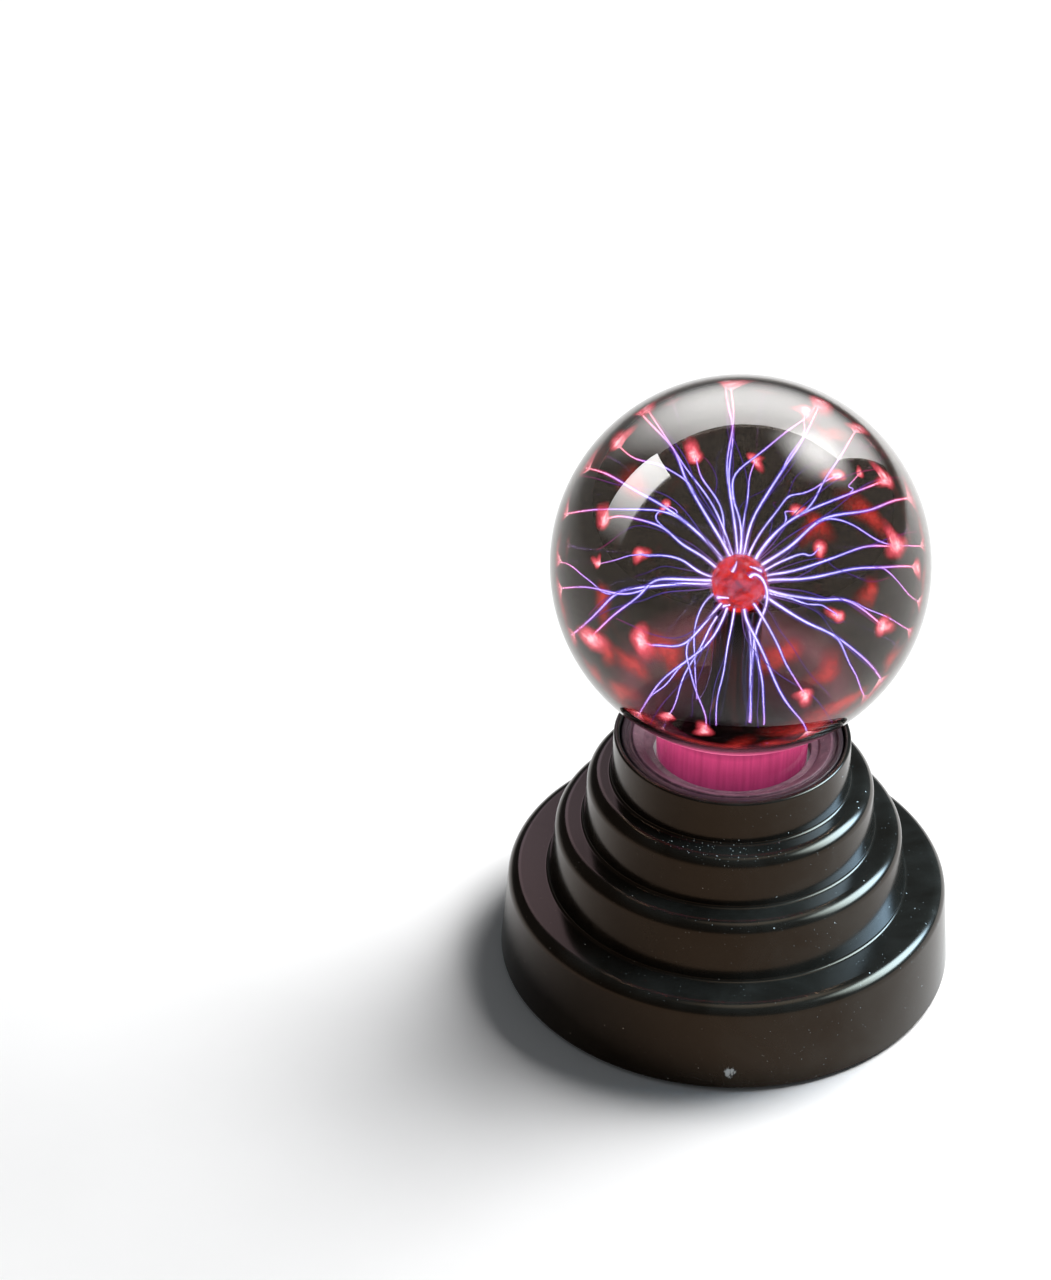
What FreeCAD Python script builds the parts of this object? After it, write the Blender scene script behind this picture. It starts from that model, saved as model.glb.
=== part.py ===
# Plasma ball: a glass globe on a four-step moulded base, with its high-voltage driver inside.
#
# Millimetres, +Z up. The origin is the centre of the circle that the rubber feet stand on. The globe's axis
# is the Z axis, and the power socket and the slide switch face +Y, the back.
import FreeCAD, Part
import Sketcher
import math
import os
import re

DRIVING_SIZES = {
    # sealed glass globe and its neck
    "globe_radius": 40.0,
    "globe_wall": 1.2,
    "globe_centre_height": 101.7,
    "neck_radius": 16.5,
    "neck_blend_radius": 3.5,
    "neck_end_height": 46.5,
    # inner stem: a black glass tube that flares out to meet the neck
    "stem_radius": 5.3,
    "stem_wall": 1.0,
    "stem_top_height": 92.6,
    "flare_start_height": 79.0,
    "flare_curve_radius": 38.0,
    "flare_throat_height": 64.5,
    "flare_end_height": 49.5,
    # electrode bulb on top of the stem, and what fills it
    "bulb_radius": 5.9,
    "bulb_wall": 0.7,
    "bulb_centre_height": 97.3,
    "bulb_neck_radius": 4.2,
    "bulb_neck_end_height": 86.0,
    "wool_radius": 4.7,
    "wool_neck_radius": 3.2,
    "wool_end_height": 90.0,
    "plug_top_height": 85.0,
    "plug_length": 6.0,
    "exhaust_radius": 1.0,
    "exhaust_length": 9.0,
    # base housing: four steps, each wall drawn in towards its top
    "foot_gap": 1.0,
    "tier1_foot_radius": 50.5,
    "tier1_top_radius": 48.7,
    "tier1_height": 21.5,
    "tier2_foot_radius": 39.9,
    "tier2_top_radius": 38.1,
    "tier2_height": 35.4,
    "tier3_foot_radius": 32.2,
    "tier3_top_radius": 31.3,
    "tier3_height": 47.7,
    "collar_foot_radius": 26.2,
    "collar_top_radius": 25.8,
    "collar_height": 58.3,
    "collar_bore_radius": 24.5,
    "shelf_height": 51.5,
    "shelf_thickness": 2.0,
    "shelf_bore_radius": 17.9,
    "housing_wall": 2.2,
    "step_round": 3.0,
    "step_foot_round": 0.8,
    "rim_round": 0.55,
    # ring that fills the collar around the neck
    "seat_ring_radius": 24.15,
    "seat_ring_bore": 17.2,
    "seat_ring_wall": 1.5,
    "seat_ring_top": 58.0,
    "seat_ring_dip": 2.1,
    "sealant_top_height": 53.0,
    # bottom cover, its screws and the feet
    "cover_radius": 47.8,
    "cover_seat_radius": 48.1,
    "cover_thickness": 2.4,
    "boss_circle_radius": 41.0,
    "boss_radius": 3.2,
    "pilot_radius": 1.3,
    "pilot_depth": 10.0,
    "screw_clearance_radius": 1.7,
    "counterbore_radius": 3.2,
    "counterbore_depth": 1.5,
    "screw_radius": 1.24,
    "screw_length": 9.0,
    "screw_head_radius": 2.75,
    "screw_head_height": 1.3,
    "screw_tip": 1.5,
    "cross_slot_width": 0.5,
    "cross_slot_depth": 0.7,
    "foot_circle_radius": 37.0,
    "foot_radius": 5.5,
    "foot_recess_depth": 0.8,
    "foot_edge": 0.4,
    # circuit board
    "board_height": 5.1,
    "board_thickness": 1.6,
    "board_half_width": 28.0,
    "board_back_half_width": 18.0,
    "board_front_half_width": 20.0,
    "board_side_back": 30.0,
    "board_side_front": 26.0,
    "board_notch_gap": 1.1,
    "board_back": 42.0,
    "board_front": 34.0,
    "standoff_x": 24.0,
    "standoff_y": 22.0,
    "standoff_radius": 2.6,
    "board_pilot_radius": 0.85,
    "board_pilot_depth": 3.3,
    "board_hole_radius": 1.05,
    "board_screw_radius": 0.8,
    "board_screw_head_radius": 1.9,
    "board_screw_head_height": 1.2,
    "board_screw_length": 4.2,
    # leads and solder
    "lead_radius": 0.3,
    "lead_pitch": 2.54,
    "flat_lead": 0.5,
    "flat_lead_width": 0.8,
    "solder_radius": 0.9,
    "solder_height": 0.8,
    # transformer
    "transformer_y": -8.0,
    "core_width": 19.0,
    "core_depth": 5.0,
    "core_yoke": 3.0,
    "core_leg": 2.2,
    "core_centre_radius": 2.6,
    "core_lower_gap": 2.0,
    "core_air_gap": 0.1,
    "winding_height": 10.4,
    "bobbin_bore_radius": 2.75,
    "bobbin_tube_radius": 3.5,
    "bobbin_flange_radius": 6.8,
    "bobbin_flange": 0.9,
    "bobbin_foot_half_width": 5.5,
    "bobbin_foot_depth": 3.0,
    "primary_radius": 5.4,
    "secondary_radius": 6.4,
    "primary_share": 0.34,
    # power transistor and its heatsink
    "transistor_x": 17.0,
    "transistor_y": -6.0,
    "transistor_width": 10.0,
    "transistor_thickness": 3.2,
    "transistor_height": 9.0,
    "transistor_lift": 3.5,
    "tab_thickness": 1.3,
    "tab_height": 15.5,
    "tab_hole_height": 12.4,
    "tab_hole_radius": 1.6,
    "heatsink_width": 16.0,
    "heatsink_height": 20.0,
    "heatsink_thickness": 1.5,
    "heatsink_fin": 6.0,
    "heatsink_foot": 0.5,
    "sink_screw_radius": 1.25,
    "sink_screw_head_radius": 2.6,
    "sink_screw_head_height": 1.8,
    # small parts on the board
    "can_lift": 0.3,
    "can_crimp": 0.3,
    "film_x": 4.0,
    "film_y": -30.0,
    "film_lift": 0.5,
    "film_length": 12.0,
    "film_width": 5.0,
    "film_height": 8.5,
    "film_lead_inset": 1.0,
    "disc_radius": 2.9,
    "disc_thickness": 1.9,
    "disc_centre_lift": 4.2,
    "resistor_radius": 1.1,
    "resistor_length": 6.3,
    "resistor_lead": 1.2,
    "resistor_lift": 1.5,
    "small_case_radius": 2.4,
    "small_case_height": 4.6,
    "small_case_lift": 2.5,
    "chip_x": 4.0,
    "chip_y": 9.0,
    "chip_length": 9.4,
    "chip_width": 6.4,
    "chip_height": 3.3,
    "chip_lift": 0.8,
    "chip_leg": 0.4,
    # power socket
    "jack_x": -11.0,
    "jack_front": 43.0,
    "jack_width": 9.0,
    "jack_length": 14.4,
    "jack_height": 10.8,
    "jack_axis_lift": 6.4,
    "jack_bore_radius": 3.15,
    "jack_bore_depth": 10.5,
    "jack_pin_radius": 1.0,
    "jack_pin_setback": 1.0,
    "jack_pin_taper": 0.5,
    "jack_opening_radius": 4.5,
    # slide switch: off, on, sound; the slider rests at on
    "switch_x": 11.0,
    "switch_front": 42.3,
    "switch_width": 13.0,
    "switch_depth": 5.5,
    "switch_height": 6.4,
    "switch_lift": 0.6,
    "switch_sheet": 0.4,
    "switch_leg": 1.2,
    "switch_slot_gap": 0.25,
    "terminal_plate": 1.2,
    "contact_leaf": 0.15,
    "slider_travel": 2.0,
    "slider_width": 7.2,
    "handle_width": 3.0,
    "handle_height": 2.2,
    "handle_tip": 50.3,
    "handle_clearance": 0.5,
    # microphone
    "microphone_angle": 35.0,
    "microphone_front": 45.7,
    "microphone_radius": 3.0,
    "microphone_length": 3.4,
    "microphone_boot_radius": 4.2,
    "microphone_boot_length": 5.5,
    "microphone_boot_lip": 1.0,
    "microphone_port_radius": 0.8,
    # wire from the transformer up the stem
    "high_voltage_wire_radius": 1.0,
    "high_voltage_wire_bend": 6.0,
    "wire_lower_bend": 30.0,
    "wire_upper_bend": 40.0,
}

FIN_COUNT = 4
CORNERS = ((1, 1), (-1, 1), (-1, -1), (1, -1))
# places of the small parts on the board: x, y, and for a can its radius and height
CAN_PLACES = ((-20, -8, 5, 16), (-19, 6, 2.5, 11), (-12, -24, 2.5, 11), (-4, -27, 3.15, 11))
DISC_PLACES = ((-14, 17), (-22, 15), (16, -19))
RESISTOR_PLACES = ((-6, 6), (-6, 10), (-6, 14), (4, 22), (4, 26), (-9, -18))
SMALL_TRANSISTOR_PLACES = ((-14, 24), (18, 12))

doc = FreeCAD.newDocument("plasma_ball")
sheet = doc.addObject("Spreadsheet::Sheet", "Sizes")
nodes = []
leads = []
solder = []


def fill_sheet():
    """Each driving size is a plain number in a cell, with its name as the alias."""
    for row, (name, size) in enumerate(DRIVING_SIZES.items(), start=1):
        sheet.set(f"A{row}", name.replace("_", " "))
        sheet.set(f"B{row}", str(size))
        sheet.setAlias(f"B{row}", name)
    doc.recompute()


def bound(expression):
    """The expression with every size's name read from the sheet."""

    def from_sheet(match):
        word = match.group()
        return f"Sizes.{word}" if word in DRIVING_SIZES else word

    return re.sub(r"[a-z]\w*", from_sheet, str(expression))


def number(expression):
    """The value of an expression now, for first positions and for picking edges."""
    return float(sheet.evalExpression(bound(expression)))


def node(feature, label):
    """Marks a finished sub-part: its label names its file."""
    feature.Label = label
    nodes.append(feature)
    return feature


# ---------------------------------------------------------------- sketches and bodies


def new_body(name):
    return doc.addObject("PartDesign::Body", name)


def origin_feature(body, role):
    return next(f for f in body.Origin.OriginFeatures if f.Role == role)


def new_sketch(body, role, name, offset="0", turn="0"):
    """A sketch on one of the body's own origin planes, moved along the plane's normal by offset, or turned
    about its own vertical."""
    sketch = body.newObject("Sketcher::SketchObject", name)
    sketch.AttachmentSupport = (origin_feature(body, role), [""])
    sketch.MapMode = "FlatFace"
    if offset != "0":
        sketch.setExpression("AttachmentOffset.Base.z", bound(offset))
    if turn != "0":
        upright = FreeCAD.Rotation(FreeCAD.Vector(0, 1, 0), number(turn))
        sketch.AttachmentOffset = FreeCAD.Placement(FreeCAD.Vector(), upright)
        sketch.setExpression("AttachmentOffset.Rotation.Angle", bound(turn))
    return sketch


def pin_point(sketch, geometry, end, x, y):
    """Holds one end of a sketch element at expressions x and y."""
    if x == "0":
        sketch.addConstraint(Sketcher.Constraint("PointOnObject", geometry, end, -2))
    else:
        index = sketch.addConstraint(Sketcher.Constraint("DistanceX", -1, 1, geometry, end, number(x)))
        sketch.setExpression(f"Constraints[{index}]", bound(x))
    if y == "0":
        sketch.addConstraint(Sketcher.Constraint("PointOnObject", geometry, end, -1))
    else:
        index = sketch.addConstraint(Sketcher.Constraint("DistanceY", -1, 1, geometry, end, number(y)))
        sketch.setExpression(f"Constraints[{index}]", bound(y))


def draw_outline(sketch, corners):
    """A closed outline. A corner is (x, y), or (x, y, centre x, centre y, radius, turn) where an arc starts
    there and runs to the next corner; turn is 1 for anticlockwise and -1 for clockwise."""
    pieces = []
    for i, corner in enumerate(corners):
        following = corners[(i + 1) % len(corners)]
        start = FreeCAD.Vector(number(corner[0]), number(corner[1]), 0)
        stop = FreeCAD.Vector(number(following[0]), number(following[1]), 0)
        if len(corner) == 2:
            pieces.append((sketch.addGeometry(Part.LineSegment(start, stop), False), 1, 2))
            continue
        centre = FreeCAD.Vector(number(corner[2]), number(corner[3]), 0)
        first, last = (start, stop) if corner[5] > 0 else (stop, start)
        angles = [math.atan2(p.y - centre.y, p.x - centre.x) for p in (first, last)]
        circle = Part.Circle(centre, FreeCAD.Vector(0, 0, 1), (start - centre).Length)
        arc = sketch.addGeometry(Part.ArcOfCircle(circle, angles[0], angles[1]), False)
        pieces.append((arc, 1, 2) if corner[5] > 0 else (arc, 2, 1))
    for i, (geometry, start_end, _) in enumerate(pieces):
        before = pieces[i - 1]
        sketch.addConstraint(Sketcher.Constraint("Coincident", before[0], before[2], geometry, start_end))
        pin_point(sketch, geometry, start_end, corners[i][0], corners[i][1])
    for (geometry, _, _), corner in zip(pieces, corners):
        if len(corner) > 2:
            index = sketch.addConstraint(Sketcher.Constraint("Radius", geometry, number(corner[4])))
            sketch.setExpression(f"Constraints[{index}]", bound(corner[4]))


def draw_circle(sketch, x, y, radius):
    centre = FreeCAD.Vector(number(x), number(y), 0)
    circle = sketch.addGeometry(Part.Circle(centre, FreeCAD.Vector(0, 0, 1), number(radius)), False)
    pin_point(sketch, circle, 3, x, y)
    index = sketch.addConstraint(Sketcher.Constraint("Radius", circle, number(radius)))
    sketch.setExpression(f"Constraints[{index}]", bound(radius))


def revolve(body, name, corners):
    """A full turn about Z of an outline of (radius, height) corners."""
    sketch = new_sketch(body, "XZ_Plane", f"{name}_outline")
    draw_outline(sketch, corners)
    feature = body.newObject("PartDesign::Revolution", name)
    feature.Profile = (sketch, [""])
    feature.ReferenceAxis = (sketch, ["V_Axis"])
    feature.Angle = 360.0
    sketch.Visibility = False
    doc.recompute()
    return feature


def turned(label, corners):
    """A sub-part that is one revolved outline."""
    body = new_body(label)
    revolve(body, f"{label}_turn", corners)
    return node(body, label)


def round_circles(body, base, name, places, radius):
    """Fillets the circular edges about Z whose (radius, height) are listed."""
    names = []
    for around, height in places:
        for i, edge in enumerate(base.Shape.Edges, start=1):
            if edge.Degenerated or not isinstance(edge.Curve, Part.Circle):
                continue
            wanted = FreeCAD.Vector(0, 0, number(height))
            if abs(edge.Curve.Radius - number(around)) < 0.01 and edge.Curve.Center.isEqual(wanted, 0.01):
                names.append(f"Edge{i}")
    if len(names) != len(places):
        raise RuntimeError(f"{name}: found {len(names)} of {len(places)} edges")
    feature = body.newObject("PartDesign::Fillet", name)
    feature.Base = (base, names)
    feature.setExpression("Radius", bound(radius))
    doc.recompute()
    return feature


def extrude(body, name, kind, role, offset, length, reverse=False, corners=None, circle=None, turn="0"):
    """A Pad or a Pocket of one outline or circle. It stops the build if it changes no volume."""
    before = body.Shape.Volume if body.Tip else 0.0
    sketch = new_sketch(body, role, f"{name}_outline", offset, turn)
    if circle:
        draw_circle(sketch, *circle)
    else:
        draw_outline(sketch, corners)
    feature = body.newObject(f"PartDesign::{kind}", name)
    feature.Profile = (sketch, [""])
    feature.setExpression("Length", bound(length))
    feature.Reversed = reverse
    sketch.Visibility = False
    doc.recompute()
    change = body.Shape.Volume - before
    if (kind == "Pad") != (change > 1e-6) or abs(change) < 1e-6:
        raise RuntimeError(f"{name}: the {kind} changed the volume by {change:.3f}")
    return feature


def around_axis(body, name, originals, count):
    """Repeats features evenly about Z."""
    feature = body.newObject("PartDesign::PolarPattern", name)
    feature.Originals = originals
    feature.Axis = (origin_feature(body, "Z_Axis"), [""])
    feature.Angle = 360.0
    feature.Occurrences = count
    body.Tip = feature
    doc.recompute()
    return feature


def rectangle(left, bottom, right, top):
    return [(left, bottom), (right, bottom), (right, top), (left, top)]


# ---------------------------------------------------------------- primitives and booleans


def put(feature, corner, turn=None):
    """Places a primitive at three expressions, with an optional rotation."""
    if turn:
        feature.Placement = FreeCAD.Placement(FreeCAD.Vector(), turn)
    for axis, expression in zip("xyz", corner):
        feature.setExpression(f"Placement.Base.{axis}", bound(expression))
    return feature


def block(name, corner, size):
    feature = doc.addObject("Part::Box", name)
    for side, expression in zip(("Length", "Width", "Height"), size):
        feature.setExpression(side, bound(expression))
    return put(feature, corner)


TURN = {
    "up": None,
    "down": FreeCAD.Rotation(FreeCAD.Vector(1, 0, 0), 180),
    "back": FreeCAD.Rotation(FreeCAD.Vector(1, 0, 0), -90),
    "right": FreeCAD.Rotation(FreeCAD.Vector(0, 1, 0), 90),
}


def rod(name, base, radius, length, way="up"):
    """A cylinder from base, pointing up, down, back (+Y) or right (+X)."""
    feature = doc.addObject("Part::Cylinder", name)
    feature.setExpression("Radius", bound(radius))
    feature.setExpression("Height", bound(length))
    return put(feature, base, TURN[way])


def taper(name, base, radius, end_radius, length, way="up"):
    feature = doc.addObject("Part::Cone", name)
    feature.setExpression("Radius1", bound(radius))
    feature.setExpression("Radius2", bound(end_radius))
    feature.setExpression("Height", bound(length))
    return put(feature, base, TURN[way])


def cut(name, base, tool):
    feature = doc.addObject("Part::Cut", name)
    feature.Base = base
    feature.Tool = tool
    return feature


def fuse(name, *shapes):
    feature = doc.addObject("Part::MultiFuse", name)
    feature.Shapes = list(shapes)
    return feature


def several(name, *shapes):
    """Separate solids kept in one object."""
    feature = doc.addObject("Part::Compound", name)
    feature.Links = list(shapes)
    return feature


def wire_tube(label, points, radius, bend):
    """A wire along straight runs joined by tangent arcs of one bend radius."""
    corners = [FreeCAD.Vector(*[number(c) for c in p]) for p in points]
    bend_radius = number(bend)
    edges = []
    start = corners[0]
    for before, corner, after in zip(corners, corners[1:], corners[2:]):
        inward = (before - corner).normalize()
        outward = (after - corner).normalize()
        half = inward.getAngle(outward) / 2
        reach = bend_radius / math.tan(half)
        middle_way = (inward + outward).normalize()
        middle = corner + middle_way * (bend_radius / math.sin(half) - bend_radius)
        arc_start = corner + inward * reach
        arc_end = corner + outward * reach
        edges.append(Part.LineSegment(start, arc_start).toShape())
        edges.append(Part.Arc(arc_start, middle, arc_end).toShape())
        start = arc_end
    edges.append(Part.LineSegment(start, corners[-1]).toShape())
    path = Part.Wire(edges)
    ring = Part.makeCircle(number(radius), corners[0], corners[1] - corners[0])
    feature = doc.addObject("Part::Feature", label)
    feature.Shape = path.makePipeShell([Part.Wire([ring])], True, False)
    return node(feature, label)


# ---------------------------------------------------------------- glass


def sphere_height(radius, at, centre):
    """Height below a sphere's centre where it has a given radius from the axis."""
    return f"({centre} - sqrt({radius}^2 - {at}^2))"


def make_globe():
    """Hollow sphere drawn out into an open neck."""
    body = new_body("glass_globe")
    inside = "(globe_radius - globe_wall)"
    inside_neck = "(neck_radius - globe_wall)"
    neck_top = sphere_height("globe_radius", "neck_radius", "globe_centre_height")
    inner_top = sphere_height(inside, inside_neck, "globe_centre_height")
    glass = revolve(
        body,
        "globe_turn",
        [
            ("neck_radius", "neck_end_height"),
            ("neck_radius", neck_top, "0", "globe_centre_height", "globe_radius", 1),
            ("0", "globe_centre_height + globe_radius"),
            ("0", f"globe_centre_height + {inside}", "0", "globe_centre_height", inside, -1),
            (inside_neck, inner_top),
            (inside_neck, "neck_end_height"),
        ],
    )
    outer = round_circles(body, glass, "neck_blend", [("neck_radius", neck_top)], "neck_blend_radius")
    round_circles(
        body, outer, "neck_inner_blend", [(inside_neck, inner_top)], "neck_blend_radius + globe_wall"
    )
    node(body, "glass_globe")


def make_stem():
    """Black tube whose foot flares to the neck and is fused into it."""
    seal = "(neck_radius - globe_wall)"
    wall = "stem_wall"
    curve = "flare_curve_radius"
    centre = f"(stem_radius + {curve})"
    drop = "(flare_start_height - flare_throat_height)"
    throat = f"({centre} - sqrt({curve}^2 - {drop}^2))"
    inner_throat = f"({centre} - sqrt(({curve} + {wall})^2 - {drop}^2))"
    arc_top = "flare_start_height"
    turned(
        "inner_stem",
        [
            (seal, "neck_end_height"),
            (seal, "flare_end_height"),
            (throat, "flare_throat_height", centre, arc_top, curve, -1),
            ("stem_radius", arc_top),
            ("stem_radius", "stem_top_height"),
            (f"stem_radius - {wall}", "stem_top_height"),
            (f"stem_radius - {wall}", arc_top, centre, arc_top, f"{curve} + {wall}", 1),
            (inner_throat, "flare_throat_height"),
            (f"{seal} - {wall}", "flare_end_height"),
            (f"{seal} - {wall}", "neck_end_height"),
        ],
    )


def make_bulb():
    """Small glass bulb whose own neck plugs into the stem."""
    inside = "(bulb_radius - bulb_wall)"
    inside_neck = "(bulb_neck_radius - bulb_wall)"
    turned(
        "electrode_bulb",
        [
            ("bulb_neck_radius", "bulb_neck_end_height"),
            (
                "bulb_neck_radius",
                sphere_height("bulb_radius", "bulb_neck_radius", "bulb_centre_height"),
                "0",
                "bulb_centre_height",
                "bulb_radius",
                1,
            ),
            ("0", "bulb_centre_height + bulb_radius"),
            ("0", f"bulb_centre_height + {inside}", "0", "bulb_centre_height", inside, -1),
            (inside_neck, sphere_height(inside, inside_neck, "bulb_centre_height")),
            (inside_neck, "bulb_neck_end_height"),
        ],
    )


def make_bulb_filling():
    turned(
        "steel_wool_wad",
        [
            ("0", "wool_end_height"),
            ("wool_neck_radius", "wool_end_height"),
            (
                "wool_neck_radius",
                sphere_height("wool_radius", "wool_neck_radius", "bulb_centre_height"),
                "0",
                "bulb_centre_height",
                "wool_radius",
                1,
            ),
            ("0", "bulb_centre_height + wool_radius"),
        ],
    )
    hole = "(high_voltage_wire_radius + 0.05)"
    turned(
        "stem_plug",
        [
            (hole, "plug_top_height - plug_length"),
            ("stem_radius - stem_wall", "plug_top_height - plug_length"),
            ("stem_radius - stem_wall", "plug_top_height"),
            (hole, "plug_top_height"),
        ],
    )


def make_exhaust_tip():
    """Nipple where the globe was pumped out, filled and sealed, on the rim of the neck."""
    place = ("-(neck_radius - exhaust_radius - 0.05)", "0", "neck_end_height")
    length = "exhaust_length"
    tube = rod("exhaust_tube", place, "exhaust_radius", f"{length} * 0.6", "down")
    point = taper(
        "exhaust_point",
        (place[0], "0", f"neck_end_height - {length} * 0.6"),
        "exhaust_radius",
        "exhaust_radius * 0.3",
        f"{length} * 0.4",
        "down",
    )
    node(fuse("exhaust", tube, point), "exhaust_tip")


# ---------------------------------------------------------------- housing


CEILING = "(tier1_height - housing_wall)"
COVER_TOP = "(foot_gap + cover_thickness)"
BOARD_TOP = "(board_height + board_thickness)"
MICROPHONE_AXIS = f"({BOARD_TOP} + microphone_boot_radius + 0.1)"
SWITCH_AXIS = f"({BOARD_TOP} + switch_lift + switch_height / 2)"


def make_housing():
    """One hollow moulding of four steps, with four screw bosses and three openings at the back."""
    body = new_body("base_housing")
    wall = "housing_wall"
    steps = revolve(
        body,
        "steps",
        [
            ("tier1_foot_radius", "foot_gap"),
            ("tier1_top_radius", "tier1_height"),
            ("tier2_foot_radius", "tier1_height"),
            ("tier2_top_radius", "tier2_height"),
            ("tier3_foot_radius", "tier2_height"),
            ("tier3_top_radius", "tier3_height"),
            ("collar_foot_radius", "tier3_height"),
            ("collar_top_radius", "collar_height"),
            ("collar_bore_radius", "collar_height"),
            ("collar_bore_radius", "shelf_height"),
            ("shelf_bore_radius", "shelf_height"),
            ("shelf_bore_radius", "shelf_height - shelf_thickness"),
            (f"collar_foot_radius - {wall}", "shelf_height - shelf_thickness"),
            (f"collar_foot_radius - {wall}", f"tier3_height - {wall}"),
            (f"tier3_top_radius - {wall}", f"tier3_height - {wall}"),
            (f"tier3_foot_radius - {wall}", f"tier2_height - {wall}"),
            (f"tier2_top_radius - {wall}", f"tier2_height - {wall}"),
            (f"tier2_foot_radius - {wall}", CEILING),
            (f"tier1_top_radius - {wall}", CEILING),
            ("cover_seat_radius - 1.1", COVER_TOP),
            ("cover_seat_radius", COVER_TOP),
            ("cover_seat_radius", "foot_gap"),
        ],
    )
    rounded = round_circles(
        body,
        steps,
        "step_tops",
        [
            ("tier1_top_radius", "tier1_height"),
            ("tier2_top_radius", "tier2_height"),
            ("tier3_top_radius", "tier3_height"),
        ],
        "step_round",
    )
    footed = round_circles(
        body,
        rounded,
        "step_feet",
        [
            ("tier2_foot_radius", "tier1_height"),
            ("tier3_foot_radius", "tier2_height"),
            ("collar_foot_radius", "tier3_height"),
        ],
        "step_foot_round",
    )
    round_circles(
        body,
        footed,
        "rim_edges",
        [("collar_top_radius", "collar_height"), ("collar_bore_radius", "collar_height")],
        "rim_round",
    )
    boss = extrude(
        body, "screw_boss", "Pad", "XY_Plane", COVER_TOP, f"{CEILING} - {COVER_TOP} + 0.5",
        circle=("boss_circle_radius", "0", "boss_radius"),
    )
    pilot = extrude(
        body, "screw_pilot", "Pocket", "XY_Plane", COVER_TOP, "pilot_depth", reverse=True,
        circle=("boss_circle_radius", "0", "pilot_radius"),
    )
    around_axis(body, "bosses", [boss, pilot], 4)
    slot_half = "(handle_width / 2 + slider_travel + handle_clearance)"
    extrude(
        body, "switch_slot", "Pocket", "XZ_Plane", "-switch_front", "20",
        corners=rectangle(
            f"switch_x - {slot_half}",
            f"{SWITCH_AXIS} - handle_height / 2 - handle_clearance",
            f"switch_x + {slot_half}",
            f"{SWITCH_AXIS} + handle_height / 2 + handle_clearance",
        ),
    )
    extrude(
        body, "plug_opening", "Pocket", "XZ_Plane", "-jack_front", "20",
        circle=("jack_x", f"{BOARD_TOP} + jack_axis_lift", "jack_opening_radius"),
    )
    extrude(
        body, "microphone_port", "Pocket", "XZ_Plane", "0", "60",
        circle=("0", MICROPHONE_AXIS, "microphone_port_radius"), turn="microphone_angle",
    )
    node(body, "base_housing")


def make_seat_ring():
    """Channel-shaped ring that fills the collar, with a top that dips towards the neck."""
    wall = "seat_ring_wall"
    dip = "(seat_ring_top - seat_ring_dip)"
    body = new_body("globe_seat_ring")
    ring = revolve(
        body,
        "ring_turn",
        [
            ("seat_ring_bore", "shelf_height"),
            (f"seat_ring_bore + {wall}", "shelf_height"),
            (f"seat_ring_bore + {wall}", f"{dip} - {wall}"),
            (f"seat_ring_radius - {wall}", f"seat_ring_top - {wall}"),
            (f"seat_ring_radius - {wall}", "shelf_height"),
            ("seat_ring_radius", "shelf_height"),
            ("seat_ring_radius", "seat_ring_top"),
            ("seat_ring_bore", dip),
        ],
    )
    edges = [("seat_ring_radius", "seat_ring_top"), ("seat_ring_bore", dip)]
    round_circles(body, ring, "ring_edges", edges, "rim_round")
    node(body, "globe_seat_ring")


def make_sealant():
    """Silicone that bonds the neck to the shelf, with a bead inside the seat ring."""
    turned(
        "neck_sealant",
        [
            ("neck_radius", "shelf_height - shelf_thickness"),
            ("shelf_bore_radius", "shelf_height - shelf_thickness"),
            ("shelf_bore_radius", "shelf_height"),
            ("seat_ring_bore", "shelf_height"),
            ("seat_ring_bore", "sealant_top_height - 0.4"),
            ("neck_radius", "sealant_top_height"),
        ],
    )


def make_cover():
    """Round plate with countersunk screw holes, foot recesses and the board's standoffs."""
    body = new_body("bottom_cover")
    disc = ("0", "0", "cover_radius")
    plate = extrude(body, "plate", "Pad", "XY_Plane", "foot_gap", "cover_thickness", circle=disc)
    round_circles(body, plate, "plate_edge", [("cover_radius", "foot_gap")], "rim_round")
    hole = extrude(
        body, "screw_hole", "Pocket", "XY_Plane", "foot_gap", "cover_thickness", reverse=True,
        circle=("boss_circle_radius", "0", "screw_clearance_radius"),
    )
    recess = extrude(
        body, "head_recess", "Pocket", "XY_Plane", "foot_gap", "counterbore_depth", reverse=True,
        circle=("boss_circle_radius", "0", "counterbore_radius"),
    )
    around_axis(body, "screw_holes", [hole, recess], 4)
    foot = extrude(
        body, "foot_recess", "Pocket", "XY_Plane", "foot_gap", "foot_recess_depth", reverse=True,
        circle=("foot_circle_radius * sqrt(0.5)", "foot_circle_radius * sqrt(0.5)", "foot_radius + 0.1"),
    )
    around_axis(body, "foot_recesses", [foot], 4)
    for i, (across, along) in enumerate(CORNERS):
        place = (f"{across} * standoff_x", f"{along} * standoff_y")
        extrude(
            body, f"standoff{i}", "Pad", "XY_Plane", COVER_TOP, f"board_height - {COVER_TOP}",
            circle=(*place, "standoff_radius"),
        )
        extrude(
            body, f"standoff_pilot{i}", "Pocket", "XY_Plane", "board_height", "board_pilot_depth",
            circle=(*place, "board_pilot_radius"),
        )
    node(body, "bottom_cover")


def cross_recess(name, place, size, depth):
    """Two crossed bars, which cut a cross slot upwards from place."""
    x, y, z = place
    width = "cross_slot_width"
    along_x = block(f"{name}_bar_x", (f"{x} - {size} / 2", f"{y} - {width} / 2", z), (size, width, depth))
    along_y = block(f"{name}_bar_y", (f"{x} - {width} / 2", f"{y} - {size} / 2", z), (width, size, depth))
    return fuse(f"{name}_cross", along_x, along_y)


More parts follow.
